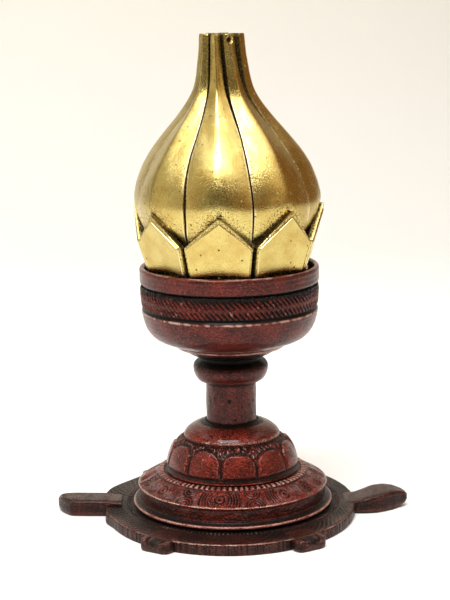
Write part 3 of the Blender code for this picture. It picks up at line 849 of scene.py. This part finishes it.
class LOTUS_OT_cup(bpy.types.Operator):
    """Build the drum cup, its rope band, the knop sleeve and the ring nut inside"""

    bl_idname = "lotus.cup"
    bl_label = "Cup and knop"

    def execute(self, context):
        need("cup_bowl", "knop_sleeve", "cup_ring_nut")
        bowl = resample([(24.4, 69.6), (24.35, 65.5), (24.0, 65.0), (23.3, 64.4), (23.3, 59.3), (23.7, 58.9),
                         (24.1, 58.3), (23.8, 56.5), (23.4, 54.8), (22.8, 53.2), (21.9, 51.8), (20.7, 50.6),
                         (19.3, 49.9), (17.3, 49.1), (15.5, 48.6), (15.25, 48.1), (15.0, 47.6), (13.6, 47.2),
                         (12.2, 46.5), (11.0, 45.6), (9.0, 45.5), (9.0, 50.2), (14.5, 50.4), (20.0, 52.6),
                         (22.2, 56.5), (22.8, 69.3), (23.3, 69.98), (23.9, 69.98)], 0.36)
        turned("cup_lacquer", bowl, 300, cup_relief, "lacquer", "cup", ["cup_bowl"], "lacquer_cup")
        rope = resample([(24.05, 64.9), (24.15, 64.0), (24.12, 62.0), (24.0, 60.0), (23.75, 59.0), (22.95, 58.95),
                         (22.95, 64.95)], 0.2, soften=1)
        turned("rope_band_lacquer", rope, 1200, rope_relief, "lacquer", "cup", (), "lacquer_cup")
        knop = resample([(8.7, 55.0), (8.7, 45.3), (9.6, 45.2), (9.5, 44.8), (8.5, 44.35), (8.7, 43.9), (9.6, 43.2),
                         (10.2, 42.4), (10.3, 41.5), (10.1, 40.4), (9.7, 39.4), (9.15, 38.5), (8.5, 38.0), (7.8, 37.8),
                         (7.15, 37.85), (7.15, 40.7),
                         (8.5, 40.7), (8.5, 43.1), (7.15, 43.1), (7.15, 55.0)], 0.25)
        turned("knop_lacquer", knop, 220, knop_relief, "lacquer", "cup", ["knop_sleeve"], "lacquer_knop")
        nut = resample([(12.6, 54.4), (13.4, 53.6), (13.4, 50.8), (9.0, 50.8), (9.0, 54.4)], 0.2, soften=1)
        make_piece("cup_ring_nut_brass", [swept(nut, 480, knurl)], material_of("dark_brass"), "cup", ["cup_ring_nut"],
                   50.0)
        return {"FINISHED"}


# ---------------------------------------------------------------- stem and foot


def stem_relief(theta, r, z):
    """An uneven, stained wall with pits, a dark ring at its foot, and the shade under the knop."""
    outside = step(6.0, 6.6, r)
    wave = ripple(theta, z / 7.0, 51, most=18)
    pits = step(0.58, 0.95, ripple(theta, z / 2.5, 52, waves=26, most=40, slope=1.5))
    ring = step(27.3, 26.5, z + 0.3 * wave) * outside
    push = (0.06 * wave - 0.14 * pits + 0.10 * ring) * outside
    shade = 0.8 * step(36.4, 37.6, z) * step(41.0, 38.5, z) * outside
    dark = highest(ring, 0.9 * pits * outside, shade, (0.22 + 0.18 * wave) * outside)
    return push, {"recess": dark, "worn": 0.0 * r}


def dome_relief(theta, r, z):
    """Arched shell scutes: each is a smooth pillow inside an arch, with dark joints between them and a stippled
    band above, under the plain cap's edge."""
    look = bpy.context.scene.lotus_foot
    outside = 1.0 * ((z > 13.0) & (np.hypot(r, z - 9.0) > 14.3))
    zone = step(22.35, 22.15, z) * step(12.9, 13.4, z) * outside
    cell = look.scutes * (theta / TAU) + look.scute_turn
    across = 2.0 * (cell - np.floor(cell)) - 1.0
    arch = 21.2 - 3.0 * np.abs(across) ** 3.6 + 0.35 * np.cos(3.0 * theta + 0.6)
    foot = 14.2
    inside_side = (1.0 - np.abs(across)) * TAU * 16.5 / look.scutes / 2.0
    inside_top = (arch - z) * 1.15
    inside = np.minimum(np.minimum(inside_side, inside_top), (z - foot) * 1.2)
    pillow = step(0.12, 0.9, inside)
    push = zone * (0.55 * pillow - 0.20) + 0.05 * ripple(theta, z / 6.0, 61, most=20) * zone
    stipple = ripple(theta, z / 1.1, 62, waves=40, most=150, slope=1.2)
    field = zone * step(0.3, -0.1, inside) * step(14.0, 14.6, z)
    push = push + 0.16 * stipple * field
    seams = step(0.40, 0.08, inside) * step(-0.45, -0.15, inside)
    between = step(0.2, -0.2, inside) * (0.42 - 0.35 * stipple) * (z > foot)
    dark = zone * np.maximum(seams, between + 0.55 * (z <= foot) * (inside < 0.2))
    cap = step(22.0, 22.6, z) * step(7.4, 8.4, r)
    streak = 0.20 * step(0.4, 0.9, ripple(theta, z / 3.0, 63, most=9, slope=0.4)) * pillow * zone
    push = push - 0.10 * bump(z, 25.9, 0.4) * step(9.4, 8.4, r)
    rim = bump(z, 23.0, 0.55) * cap
    centre = step(9.2, 8.0, r + 0.25 * ripple(theta, z / 9.0, 64, most=9))
    edge = bump(inside, 0.85, 0.25) * zone * step(foot + 0.5, foot + 1.5, z)
    # the dark line under the cap's edge is partly a joint and partly painted shade
    recess = highest(dark, streak, 0.95 * centre * step(24.8, 25.6, z), 0.5 * (1 - outside),
                     0.75 * bump(z, 22.2, 0.28) * zone)
    fleck = step(0.60, 1.05, ripple(theta, z / 1.6, 65, waves=40, most=110, slope=1.2)) * zone
    # pale marks, partly wear and partly painted highlight: the cap's rim, the scutes' edges, the stipple's tops and
    # flecks on the scutes
    worn = highest(0.6 * rim, 0.42 * edge, 0.8 * step(0.5, 0.9, stipple) * field, 0.8 * fleck * step(16.0, 19.5, z))
    return push, {"recess": recess, "worn": worn}


def eye_pattern(theta, r, mid, half, count, turn):
    """Engraved eyes round a ring. In each cell, with u along the ring and v across it in millimetres: a dot and a
    circle in the middle, and arcs (rings of growing radius about a point at each side) that fill the rest."""
    cell = count * theta / TAU + turn
    number = np.floor(cell)
    pitch = TAU * mid / count
    u = (cell - number - 0.5) * pitch
    v = r - mid
    far = np.hypot(u, v)
    line = np.maximum(step(0.5, 0.3, far), bump(far, 1.25, 0.15))
    side = np.hypot(np.abs(u) - 0.2, v * 0.95)
    waves = np.zeros_like(u)
    for radius in (2.2, 2.95, 3.7, 4.45, 5.2):
        arc = bump(side, radius, 0.17) * (np.abs(v) < half * 0.92) * step(1.7, 2.1, np.abs(u))
        waves = np.maximum(waves, arc)
    corners = np.zeros_like(u)
    for radius in (0.8, 1.5, 2.2):
        for shift in (-0.95, 0.95):
            back = np.hypot(np.abs(u) - pitch / 2, v + half * shift)
            arc = bump(back, radius, 0.15) * (np.abs(u) > pitch / 2 - 2.4) * (v * shift < 0.1)
            corners = np.maximum(corners, arc)
    return highest(line, waves, corners)


def engraved_relief(theta, r, z):
    """The engraved slope: eyes and arcs cut 0.3 mm deep, inside a beaded ring that goes round the dome."""
    look = bpy.context.scene.lotus_foot
    top = (z > 8.6) * (r > 18.3)
    slope = step(20.9, 21.2, r) * step(26.1, 25.7, r) * top
    cut = eye_pattern(theta, r, 23.3, 2.3, look.eyes, look.eye_turn) * slope
    broken = 0.95 + 0.35 * ripple(theta, r / 3.0, 71, most=60)
    cut = np.clip(cut * broken, 0, 1)
    beads = np.abs(np.sin(look.beads * theta / 2.0 + 0.4 * ripple(theta, r / 30.0, 72, most=40)))
    ring = step(18.9, 19.1, r) * step(20.75, 20.45, r) * top
    lip = bump(r, 26.15, 0.35) * step(8.9, 9.2, z)
    push = -0.30 * cut + ring * (0.42 * beads**0.7 - 0.12) + 0.04 * ripple(theta, r / 6.0, 73, most=22)
    seam = bump(r, 18.75, 0.35) * top + bump(r, 20.85, 0.16) * top
    gap = ring * step(0.5, 0.12, beads)
    recess = np.clip(highest(cut, seam, gap, 0.45 * step(19.2, 18.2, r)), 0, 1)
    # pale marks, partly wear and partly painted highlight: the disc's lip, the beads' tops and the slope between the
    # cuts
    worn = highest(0.9 * lip, ring * step(0.6, 0.9, beads), 0.25 * slope * (1 - cut))
    return push, {"recess": recess, "worn": worn}


def wall_relief(theta, r, z):
    """The disc's wall, stippled by fine waves and dark in patches, and the lip of the stepped ring below it, pale from
    wear and painted highlight, with painted shade under it.
    """
    outside = (r > 24.9) * step(3.4, 3.6, z)
    stipple = ripple(theta, z / 1.2, 81, waves=40, most=190, slope=1.2)
    push = 0.05 * stipple * outside
    wall = outside * step(8.8, 8.3, z) * step(5.0, 5.5, z)
    groove = outside * bump(z, 5.0, 0.35)
    lip = bump(r, 27.5, 0.35) * bump(z, 4.45, 0.35)
    patch = 0.44 + 0.18 * ripple(theta, z / 30.0, 82, most=7) + 0.22 * stipple
    # painted shade under the stepped ring's lip
    recess = highest(wall * patch, groove * 0.9, 0.9 * step(4.1, 3.7, z), 0.5 * (r < 24.9))
    return push - 0.15 * groove, {"recess": np.clip(recess, 0, 1), "worn": lip}


def plate_reach(theta):
    """Plan outline of the plate: 35.9 - 1.15 cos 2t - 0.55 cos t, with a bulge on each side of the tail."""
    azimuth = np.degrees(theta)
    reach = 35.9 - 1.15 * np.cos(2.0 * theta) - 0.55 * np.cos(theta)
    for centre, spread, height in ((160.0, 12.0, 1.9), (-167.0, 5.0, 0.9)):
        away = (azimuth - centre + 180.0) % 360.0 - 180.0
        reach = reach + height * np.exp(-((away / spread) ** 2))
    return reach


def plate_relief(theta, r, z):
    """The plate: short dashes in a ring next to the step, curved strokes towards the rim, and a hatched edge."""
    top = (z > 2.6) * (r > 24.0)
    edge = step(34.2, 34.7, r) * step(3.25, 2.9, z) * step(0.15, 0.5, z)
    hatch = ripple(theta, z / 60.0, 91, waves=60, most=340, slope=0.6)
    dash = np.abs(np.sin(84 * theta + 0.5 * ripple(theta, r / 30.0, 92, most=50)))
    dashes = bump(r, 29.0, 0.75) * top
    stroke = np.sin(96 * theta + 5.0 * (r - 31.5) + 1.2 * ripple(theta, r / 8.0, 93, most=24))
    # painted light on the plate's front, the side towards the camera: it lightens the top near the rim and brightens
    # the lip
    lit_front = step(-0.2, 0.7, np.cos(theta + math.pi / 2 + 0.15))
    patch = ripple(theta, r / 20.0, 94, most=16)
    field = step(30.4, 30.9, r) * step(34.6, 34.2, r) * top
    cut = step(0.35, 0.85, stroke) * field * np.clip(0.75 + 0.5 * patch, 0.0, 1.0)
    push = (0.10 * hatch - 0.14) * edge - 0.20 * cut + dashes * (0.30 * dash - 0.18)
    moat = (bump(r, 27.9, 0.45) + 0.7 * bump(r, 30.3, 0.3)) * top
    lip = bump(r, 34.75, 0.28) * step(2.5, 3.1, z)
    # dark over the whole top, less so at the front near the rim where light is painted
    darkening = top * (0.58 - 0.34 * lit_front * step(32.4, 34.2, r) + 0.12 * patch)
    rough = edge * (0.28 + 0.30 * step(0.15, -0.5, hatch))
    recess = highest(0.8 * cut, moat, dashes * step(0.6, 0.2, dash), rough, 0.5 * step(0.5, 0.0, z), darkening)
    # pale marks: the lip (wear, with painted light at the front), the dashes' tops (wear and painted highlight) and the
    # field
    worn = highest(lip * (0.35 + 0.5 * lit_front), dashes * step(0.6, 0.95, dash), 0.15 * field * (1 - cut))
    stretch = (plate_reach(theta) - 35.0) * step(30.0, 34.4, r)
    return push, {"recess": np.clip(recess, 0, 1), "worn": worn, "stretch": stretch}


def limb(stations, power, around, hatch, seed, toes=0, rim=0.0):
    """A blunt limb along X. Each station gives x, near and far side, underside and top; its section is a superellipse
    |y/w|^p + |z/h|^p = 1, toes cuts grooves in the top near the end, and rim scores a line just inside the edge."""
    knots = np.array(stations, float)
    at = np.linspace(0.0, 1.0, 96)
    own = np.concatenate([[0.0], np.cumsum(np.abs(np.diff(knots[:, 0])) + 0.3)])
    line = np.stack([np.interp(at, own / own[-1], knots[:, i]) for i in range(5)], axis=1)
    for _ in range(5):
        line[1:-1] = (line[:-2] + 2 * line[1:-1] + line[2:]) / 4.0
    a = np.linspace(0.0, TAU, around, endpoint=False)
    c, s = np.cos(a), np.sin(a)
    cy, cz = np.sign(c) * np.abs(c) ** (2 / power), np.sign(s) * np.abs(s) ** (2 / power)
    x, near, far, low, top = (line[:, i:i + 1] for i in range(5))
    half = (far - near) / 2
    y = (near + far) / 2 + half * cy
    z = (low + top) / 2 + (top - low) / 2 * cz
    end = line[-1, 0]
    above = step(0.0, 0.7, cz)
    recess = np.zeros_like(y)
    if toes:
        reach = step(abs(end) - 3.6, abs(end) - 2.2, np.abs(x)) + 0 * y
        share = (cy + 1) / 2 * toes
        groove = bump(np.abs(share % 1.0 - 0.5), 0.5, 0.16) * reach * above * (np.abs(cy) < 0.85)
        z = z - 0.45 * groove
        recess = groove
    rub = ripple(0.0 * a[None, :] + y / 4.0, x / 3.0, seed, waves=30, most=24, slope=1.0)
    recess = np.maximum(recess, hatch * above * np.clip(0.42 + 0.3 * rub, 0.0, 1.0))
    if rim:
        inside = np.minimum(half * (1.0 - np.abs(cy)), np.abs(end - x) - 0.4)
        score = bump(inside, rim, 0.16) * above
        z = z - 0.25 * score
        recess = np.maximum(recess, score)
    wall = step(0.75, 0.35, np.abs(cz)) + 0 * y
    recess = np.maximum(recess, 0.50 * wall)
    worn = bump(cz, 0.93, 0.08) * 0.55 * step(-0.3, 0.4, rub)
    grid = np.stack([x + 0 * y, y, z], axis=2)
    return capped(grid, recess, worn)


# stations of each limb: x, near side, far side, underside, top
FOOT = [(28.5, -4.5, 4.5, 0.0, 3.1), (33.0, -4.6, 4.6, 0.0, 3.2), (37.6, -4.6, 4.6, 0.0, 3.2),
        (38.9, -4.2, 4.2, 0.0, 3.1), (39.5, -3.4, 3.4, 0.3, 2.8), (39.6, -2.6, 2.6, 0.9, 2.2)]
HEAD = [(31.0, -5.5, 4.3, 0.0, 3.15), (34.5, -6.1, 3.6, 0.0, 3.75), (36.5, -6.4, 3.9, 0.0, 4.4),
        (39.5, -6.2, 5.1, 0.0, 5.15), (42.5, -4.9, 5.1, 0.0, 5.45), (45.0, -3.3, 4.1, 0.15, 5.3),
        (47.2, -1.6, 2.6, 0.7, 4.7), (48.4, -0.8, 1.5, 1.3, 4.1), (48.85, -0.2, 0.8, 2.0, 3.5)]
TAIL = [(-31.0, -3.3, 6.0, 0.0, 4.2), (-36.0, -2.3, 6.6, 0.0, 4.4), (-44.0, -1.45, 7.4, 0.0, 4.45),
        (-45.2, -1.1, 7.5, 0.0, 4.4), (-46.6, 0.6, 7.4, 0.1, 4.35), (-47.9, 2.6, 7.0, 0.2, 4.2),
        (-48.6, 4.2, 6.4, 0.6, 3.8), (-48.88, 4.9, 5.8, 1.4, 3.2)]
FOOT_AZIMUTHS = (-124.5, -60.5, 60.5, 124.5)


class LotusFoot(bpy.types.PropertyGroup):
    scutes: amount("Scutes", "Arched plates round the shell", 11, min=4)
    scute_turn: amount("Scute turn", "Share of a scute that the ring is turned by", 0.13)
    eyes: amount("Eyes", "Engraved eyes round the disc", 8, min=2)
    eye_turn: amount("Eye turn", "Share of an eye that the ring is turned by", 0.742)
    beads: amount("Beads", "Beads round the shell's foot", 82, min=8)


class LOTUS_OT_foot(bpy.types.Operator):
    """Build the stem, the tortoise's shell, the engraved disc and the plate with head, tail and feet"""

    bl_idname = "lotus.foot"
    bl_label = "Stem and tortoise"

    def execute(self, context):
        need("stem_tube", "shell_dome", "stepped_disc", "tortoise_plate")
        stem = resample([(6.9, 58.0), (6.9, 25.8), (2.8, 25.8), (2.8, 58.0)], 0.36, soften=1)
        turned("stem_lacquer", stem, 200, stem_relief, "lacquer", "stand", ["stem_tube"], "lacquer_stem")
        dome = resample([(7.3, 26.75), (7.7, 26.5), (8.4, 26.2), (9.7, 25.7), (11.2, 25.0), (12.5, 24.0),
                         (13.2, 23.1), (13.35, 22.5), (13.0, 22.25), (13.9, 21.9), (15.1, 21.1), (16.0, 20.0),
                         (16.8, 18.6), (17.4, 17.0), (17.8, 15.4), (18.0, 14.2), (18.2, 12.9)], 0.2, False)
        inner = resample([(18.2, 12.9), (16.6, 12.9), (16.1, 16.4), (13.8, 20.1), (10.0, 22.0), (2.8, 22.6),
                          (2.8, 25.5), (7.15, 25.5), (7.15, 26.6), (7.3, 26.75)], 0.5, False, 0)
        shell = np.vstack([dome, inner[1:-1]])
        turned("shell_dome_lacquer", shell, 640, dome_relief, "shell", "stand", ["shell_dome"], "lacquer_dome")
        slope = resample([(17.4, 12.55), (19.0, 12.6), (20.3, 12.45), (20.8, 12.1), (23.5, 10.65), (26.1, 9.2),
                          (26.25, 8.95), (26.0, 8.7)], 0.15, False, 1)
        back = np.array([(25.0, 8.9), (22.0, 10.2), (18.0, 11.6)])
        ring = np.vstack([slope, back])
        turned("engraved_ring_lacquer", ring, 1280, engraved_relief, "shell", "stand", (), "lacquer_disc")
        wall = resample([(19.4, 12.2), (25.75, 8.75), (25.8, 8.4), (25.75, 5.3), (26.3, 4.95), (27.3, 4.6),
                         (27.65, 4.3), (27.6, 3.5), (24.4, 3.5), (24.2, 7.8), (19.5, 10.5), (12.0, 10.8),
                         (12.0, 12.4)], 0.34, soften=1)
        turned("stepped_disc_lacquer", wall, 480, wall_relief, "lacquer", "stand", ["stepped_disc"], "lacquer_disc")
        top = resample([(11.0, 3.2), (24.0, 3.2)], 1.2, False, 0)
        rim = resample([(24.3, 3.2), (34.4, 3.15), (34.9, 2.95), (35.0, 2.6), (34.95, 0.5), (34.7, 0.05)],
                       0.24, False, 1)
        under = np.array([(34.0, 0.0), (22.0, 0.0), (8.1, 0.0), (8.0, 0.2), (8.0, 4.2), (2.8, 4.2), (2.8, 6.5),
                          (10.8, 6.5), (11.0, 6.3)])
        plate = np.vstack([top, rim, under])
        parts = []
        for k, azimuth in enumerate(FOOT_AZIMUTHS):
            paw = limb(FOOT, 6.0, 96, 0.45, 101 + k, toes=4)
            paw["grid"] = turn_about_stem(paw["grid"], math.radians(azimuth))
            parts.append(paw)
        parts.append(limb(HEAD, 6.5, 140, 0.85, 111))
        parts.append(limb(TAIL, 7.0, 140, 0.9, 112, rim=1.1))
        turned("tortoise_plate_lacquer", plate, 1100, plate_relief, "plate", "stand", ["tortoise_plate"],
               "lacquer_plate")
        make_piece("tortoise_limbs_lacquer", parts, material_of("plate"), "stand", (), 60.0)
        return {"FINISHED"}


HARDWARE = ("spindle", "base_nut", "base_washer", "friction_ring")


class LOTUS_OT_hardware(bpy.types.Operator):
    """Give the spindle, nut, washer and friction ring their turned steel"""

    bl_idname = "lotus.hardware"
    bl_label = "Hardware"

    def execute(self, context):
        need(*HARDWARE)
        for name in HARDWARE:
            mesh = frame["nodes"][name].data
            mesh.materials.clear()
            mesh.materials.append(material_of("steel"))
        return {"FINISHED"}


# ---------------------------------------------------------------- studio


class LotusFinish(bpy.types.PropertyGroup):
    brass_colour: colour_setting("Brass", "Polished brass", (0.675, 0.545, 0.190))
    lacquer_colour: colour_setting("Lacquer", "Red lacquer", (0.118, 0.0125, 0.0075))
    # the pale colour of rubbed edges and of painted highlights
    worn_colour: colour_setting("Wear and highlight", "Rubbed edges and painted highlights", (0.56, 0.31, 0.25))
    # the dark colour of recesses and of painted shade
    recess_colour: colour_setting("Recess", "Dark recesses", (0.006, 0.0045, 0.0035))


class LotusStage(bpy.types.PropertyGroup):
    lens: amount("Lens", "Focal length in millimetres", 96.5)
    distance: length_setting("Distance", "Camera to stem", 0.430)
    height: length_setting("Height", "Camera above the floor", 0.145)
    azimuth: angle_setting("Azimuth", "Direction of the camera", -92.3)
    pitch: angle_setting("Pitch", "Downward tilt", 11.18)
    pan: angle_setting("Pan", "Turn to the left", 0.17)
    roll: angle_setting("Roll", "Clockwise roll of the camera", 0.95)


def sweep_material():
    """Matt paper: white below, creamier with height up the wall, and a little darker towards +X, which is painted
    shade.
    """
    material = bpy.data.materials.new("studio_paper")
    material.use_nodes = True
    t = Tree(material.node_tree)
    shader = material.node_tree.nodes["Principled BSDF"]
    place = t.add("ShaderNodeTexCoord").outputs["Object"]
    parts = t.add("ShaderNodeSeparateXYZ", {0: place})
    near = t.remap(parts.outputs["Y"], -0.05, 0.25)
    far = t.remap(parts.outputs["Z"], 0.0, 0.25)
    paper = t.mix(near, (0.84, 0.84, 0.83), (0.90, 0.90, 0.88))
    paper = t.mix(far, paper, (0.83, 0.82, 0.74))
    # painted shade: the paper darker towards +X
    darker = t.mix(far, (0.84, 0.84, 0.83), (0.74, 0.72, 0.63))
    paper = t.mix(t.remap(parts.outputs["X"], -0.10, 0.22), paper, darker)
    t.join(paper, shader, "Base Color")
    shader.inputs["Roughness"].default_value = 0.9
    shader.inputs["Specular IOR Level"].default_value = 0.1
    return material


def softbox(name, place, aim, size, power, colour):
    """A rectangular lamp that faces the aim point."""
    data = bpy.data.lights.new(name, "AREA")
    data.shape = "RECTANGLE"
    data.size, data.size_y = size
    data.energy = power
    data.color = colour
    lamp = bpy.data.objects.new(name, data)
    bpy.context.scene.collection.objects.link(lamp)
    lamp.location = place
    lamp.rotation_euler = (Vector(aim) - Vector(place)).to_track_quat("-Z", "Y").to_euler()
    return lamp


WHITE, WARM = (1.0, 1.0, 1.0), (1.0, 0.90, 0.72)
LAMPS = (
    # name, place, aim, size, watts, colour
    ("top_box", (0.0, -0.02, 0.74), (0.0, -0.02, 0.0), (1.3, 0.95), 5.6, WHITE),
    ("key_box", (-0.10, -0.33, 0.70), (-0.10, -0.33, 0.0), (0.50, 0.28), 6.4, WHITE),
    ("left_box", (-0.85, -0.10, 0.30), (0.0, 0.0, 0.08), (0.9, 0.8), 1.5, WARM),
    ("right_box", (0.62, -0.45, 0.52), (0.0, 0.0, 0.09), (0.4, 0.5), 0.5, (1.0, 0.86, 0.62)),
    ("paper_box", (-0.1, 0.25, 0.95), (-0.1, 0.72, 0.25), (1.2, 0.4), 1.3, WHITE),
)
# the paper, in metres: its sides in x; in y its front edge and where the floor ends; the bend's radius; its top edge
PAPER_SIDES = (-1.2, 0.55)
PAPER_FRONT, PAPER_FLOOR, PAPER_BEND, PAPER_TOP = -1.2, 0.42, 0.3, 1.6
# the room as the piece sees it, towards -X and towards +X, and as the camera sees it
ROOM_WARM = (0.150, 0.120, 0.078)
ROOM_AMBER = (0.30, 0.155, 0.058)
ROOM_PALE = (0.86, 0.85, 0.80)


class LOTUS_OT_stage(bpy.types.Operator):
    """Set up the paper sweep, the lamps and the camera"""

    bl_idname = "lotus.stage"
    bl_label = "Studio"

    def execute(self, context):
        scene = context.scene
        look = scene.lotus_stage
        a = np.linspace(0.0, math.pi / 2, 24)[1:]
        bend = np.stack([PAPER_FLOOR + PAPER_BEND * np.sin(a), PAPER_BEND - PAPER_BEND * np.cos(a)], axis=1)
        line = np.vstack([[(PAPER_FRONT, 0.0), (PAPER_FLOOR, 0.0)], bend, [(PAPER_FLOOR + PAPER_BEND, PAPER_TOP)]])
        points = [(x, y, z) for y, z in line.tolist() for x in PAPER_SIDES]
        faces = [(2 * i, 2 * i + 1, 2 * i + 3, 2 * i + 2) for i in range(len(line) - 1)]
        mesh = bpy.data.meshes.new("paper_sweep")
        mesh.from_pydata(points, [], faces)
        mesh.shade_smooth()
        mesh.materials.append(sweep_material())
        sweep = bpy.data.objects.new("paper_sweep", mesh)
        scene.collection.objects.link(sweep)
        world = bpy.data.worlds.new("studio")
        scene.world = world
        world.use_nodes = True
        room_tree = Tree(world.node_tree)
        way = room_tree.add("ShaderNodeSeparateXYZ", {0: room_tree.add("ShaderNodeTexCoord").outputs["Generated"]})
        room = room_tree.mix(room_tree.remap(way.outputs["X"], 0.15, 0.60), ROOM_WARM, ROOM_AMBER)
        room = room_tree.mix(room_tree.add("ShaderNodeLightPath").outputs["Is Camera Ray"], room, ROOM_PALE)
        world.node_tree.links.new(room, world.node_tree.nodes["Background"].inputs["Color"])
        for name, place, aim, size, power, colour in LAMPS:
            softbox(name, place, aim, size, power, colour)
        camera_data = bpy.data.cameras.new("camera")
        camera_data.lens = look.lens
        camera_data.sensor_width = 36.0
        camera_data.clip_start = 0.01
        camera = bpy.data.objects.new("camera", camera_data)
        scene.collection.objects.link(camera)
        away = look.distance
        camera.location = (away * math.cos(look.azimuth), away * math.sin(look.azimuth), look.height)
        aim = Euler((math.pi / 2 - look.pitch, 0.0, look.azimuth + math.pi / 2 + look.pan)).to_matrix()
        camera.rotation_euler = (aim @ Matrix.Rotation(-look.roll, 3, "Z")).to_euler()
        scene.camera = camera
        scene.view_settings.view_transform = "Standard"
        return {"FINISHED"}


class LOTUS_PT_panel(bpy.types.Panel):
    """Lists the parts of the lotus in the sidebar"""

    bl_label = "Lotus bud"
    bl_idname = "LOTUS_PT_panel"
    bl_space_type = "VIEW_3D"
    bl_region_type = "UI"
    bl_category = "Lotus"

    def draw(self, context):
        for cls in OPERATORS:
            self.layout.operator(cls.bl_idname)


SETTINGS = {"lotus_finish": LotusFinish, "lotus_petals": LotusPetals, "lotus_cup": LotusCup, "lotus_foot": LotusFoot,
            "lotus_stage": LotusStage}
OPERATORS = (LOTUS_OT_petals, LOTUS_OT_heart, LOTUS_OT_cup, LOTUS_OT_foot, LOTUS_OT_hardware, LOTUS_OT_stage)


def register():
    for key, cls in SETTINGS.items():
        bpy.utils.register_class(cls)
        setattr(bpy.types.Scene, key, PointerProperty(type=cls))
    for cls in OPERATORS + (LOTUS_PT_panel,):
        bpy.utils.register_class(cls)


def unregister():
    for cls in (LOTUS_PT_panel,) + OPERATORS[::-1]:
        bpy.utils.unregister_class(cls)
    for key, cls in SETTINGS.items():
        delattr(bpy.types.Scene, key)
        bpy.utils.unregister_class(cls)


def main():
    register()
    for cls in OPERATORS:
        group, name = cls.bl_idname.split(".")
        getattr(getattr(bpy.ops, group), name)()


if __name__ == "__main__":
    main()
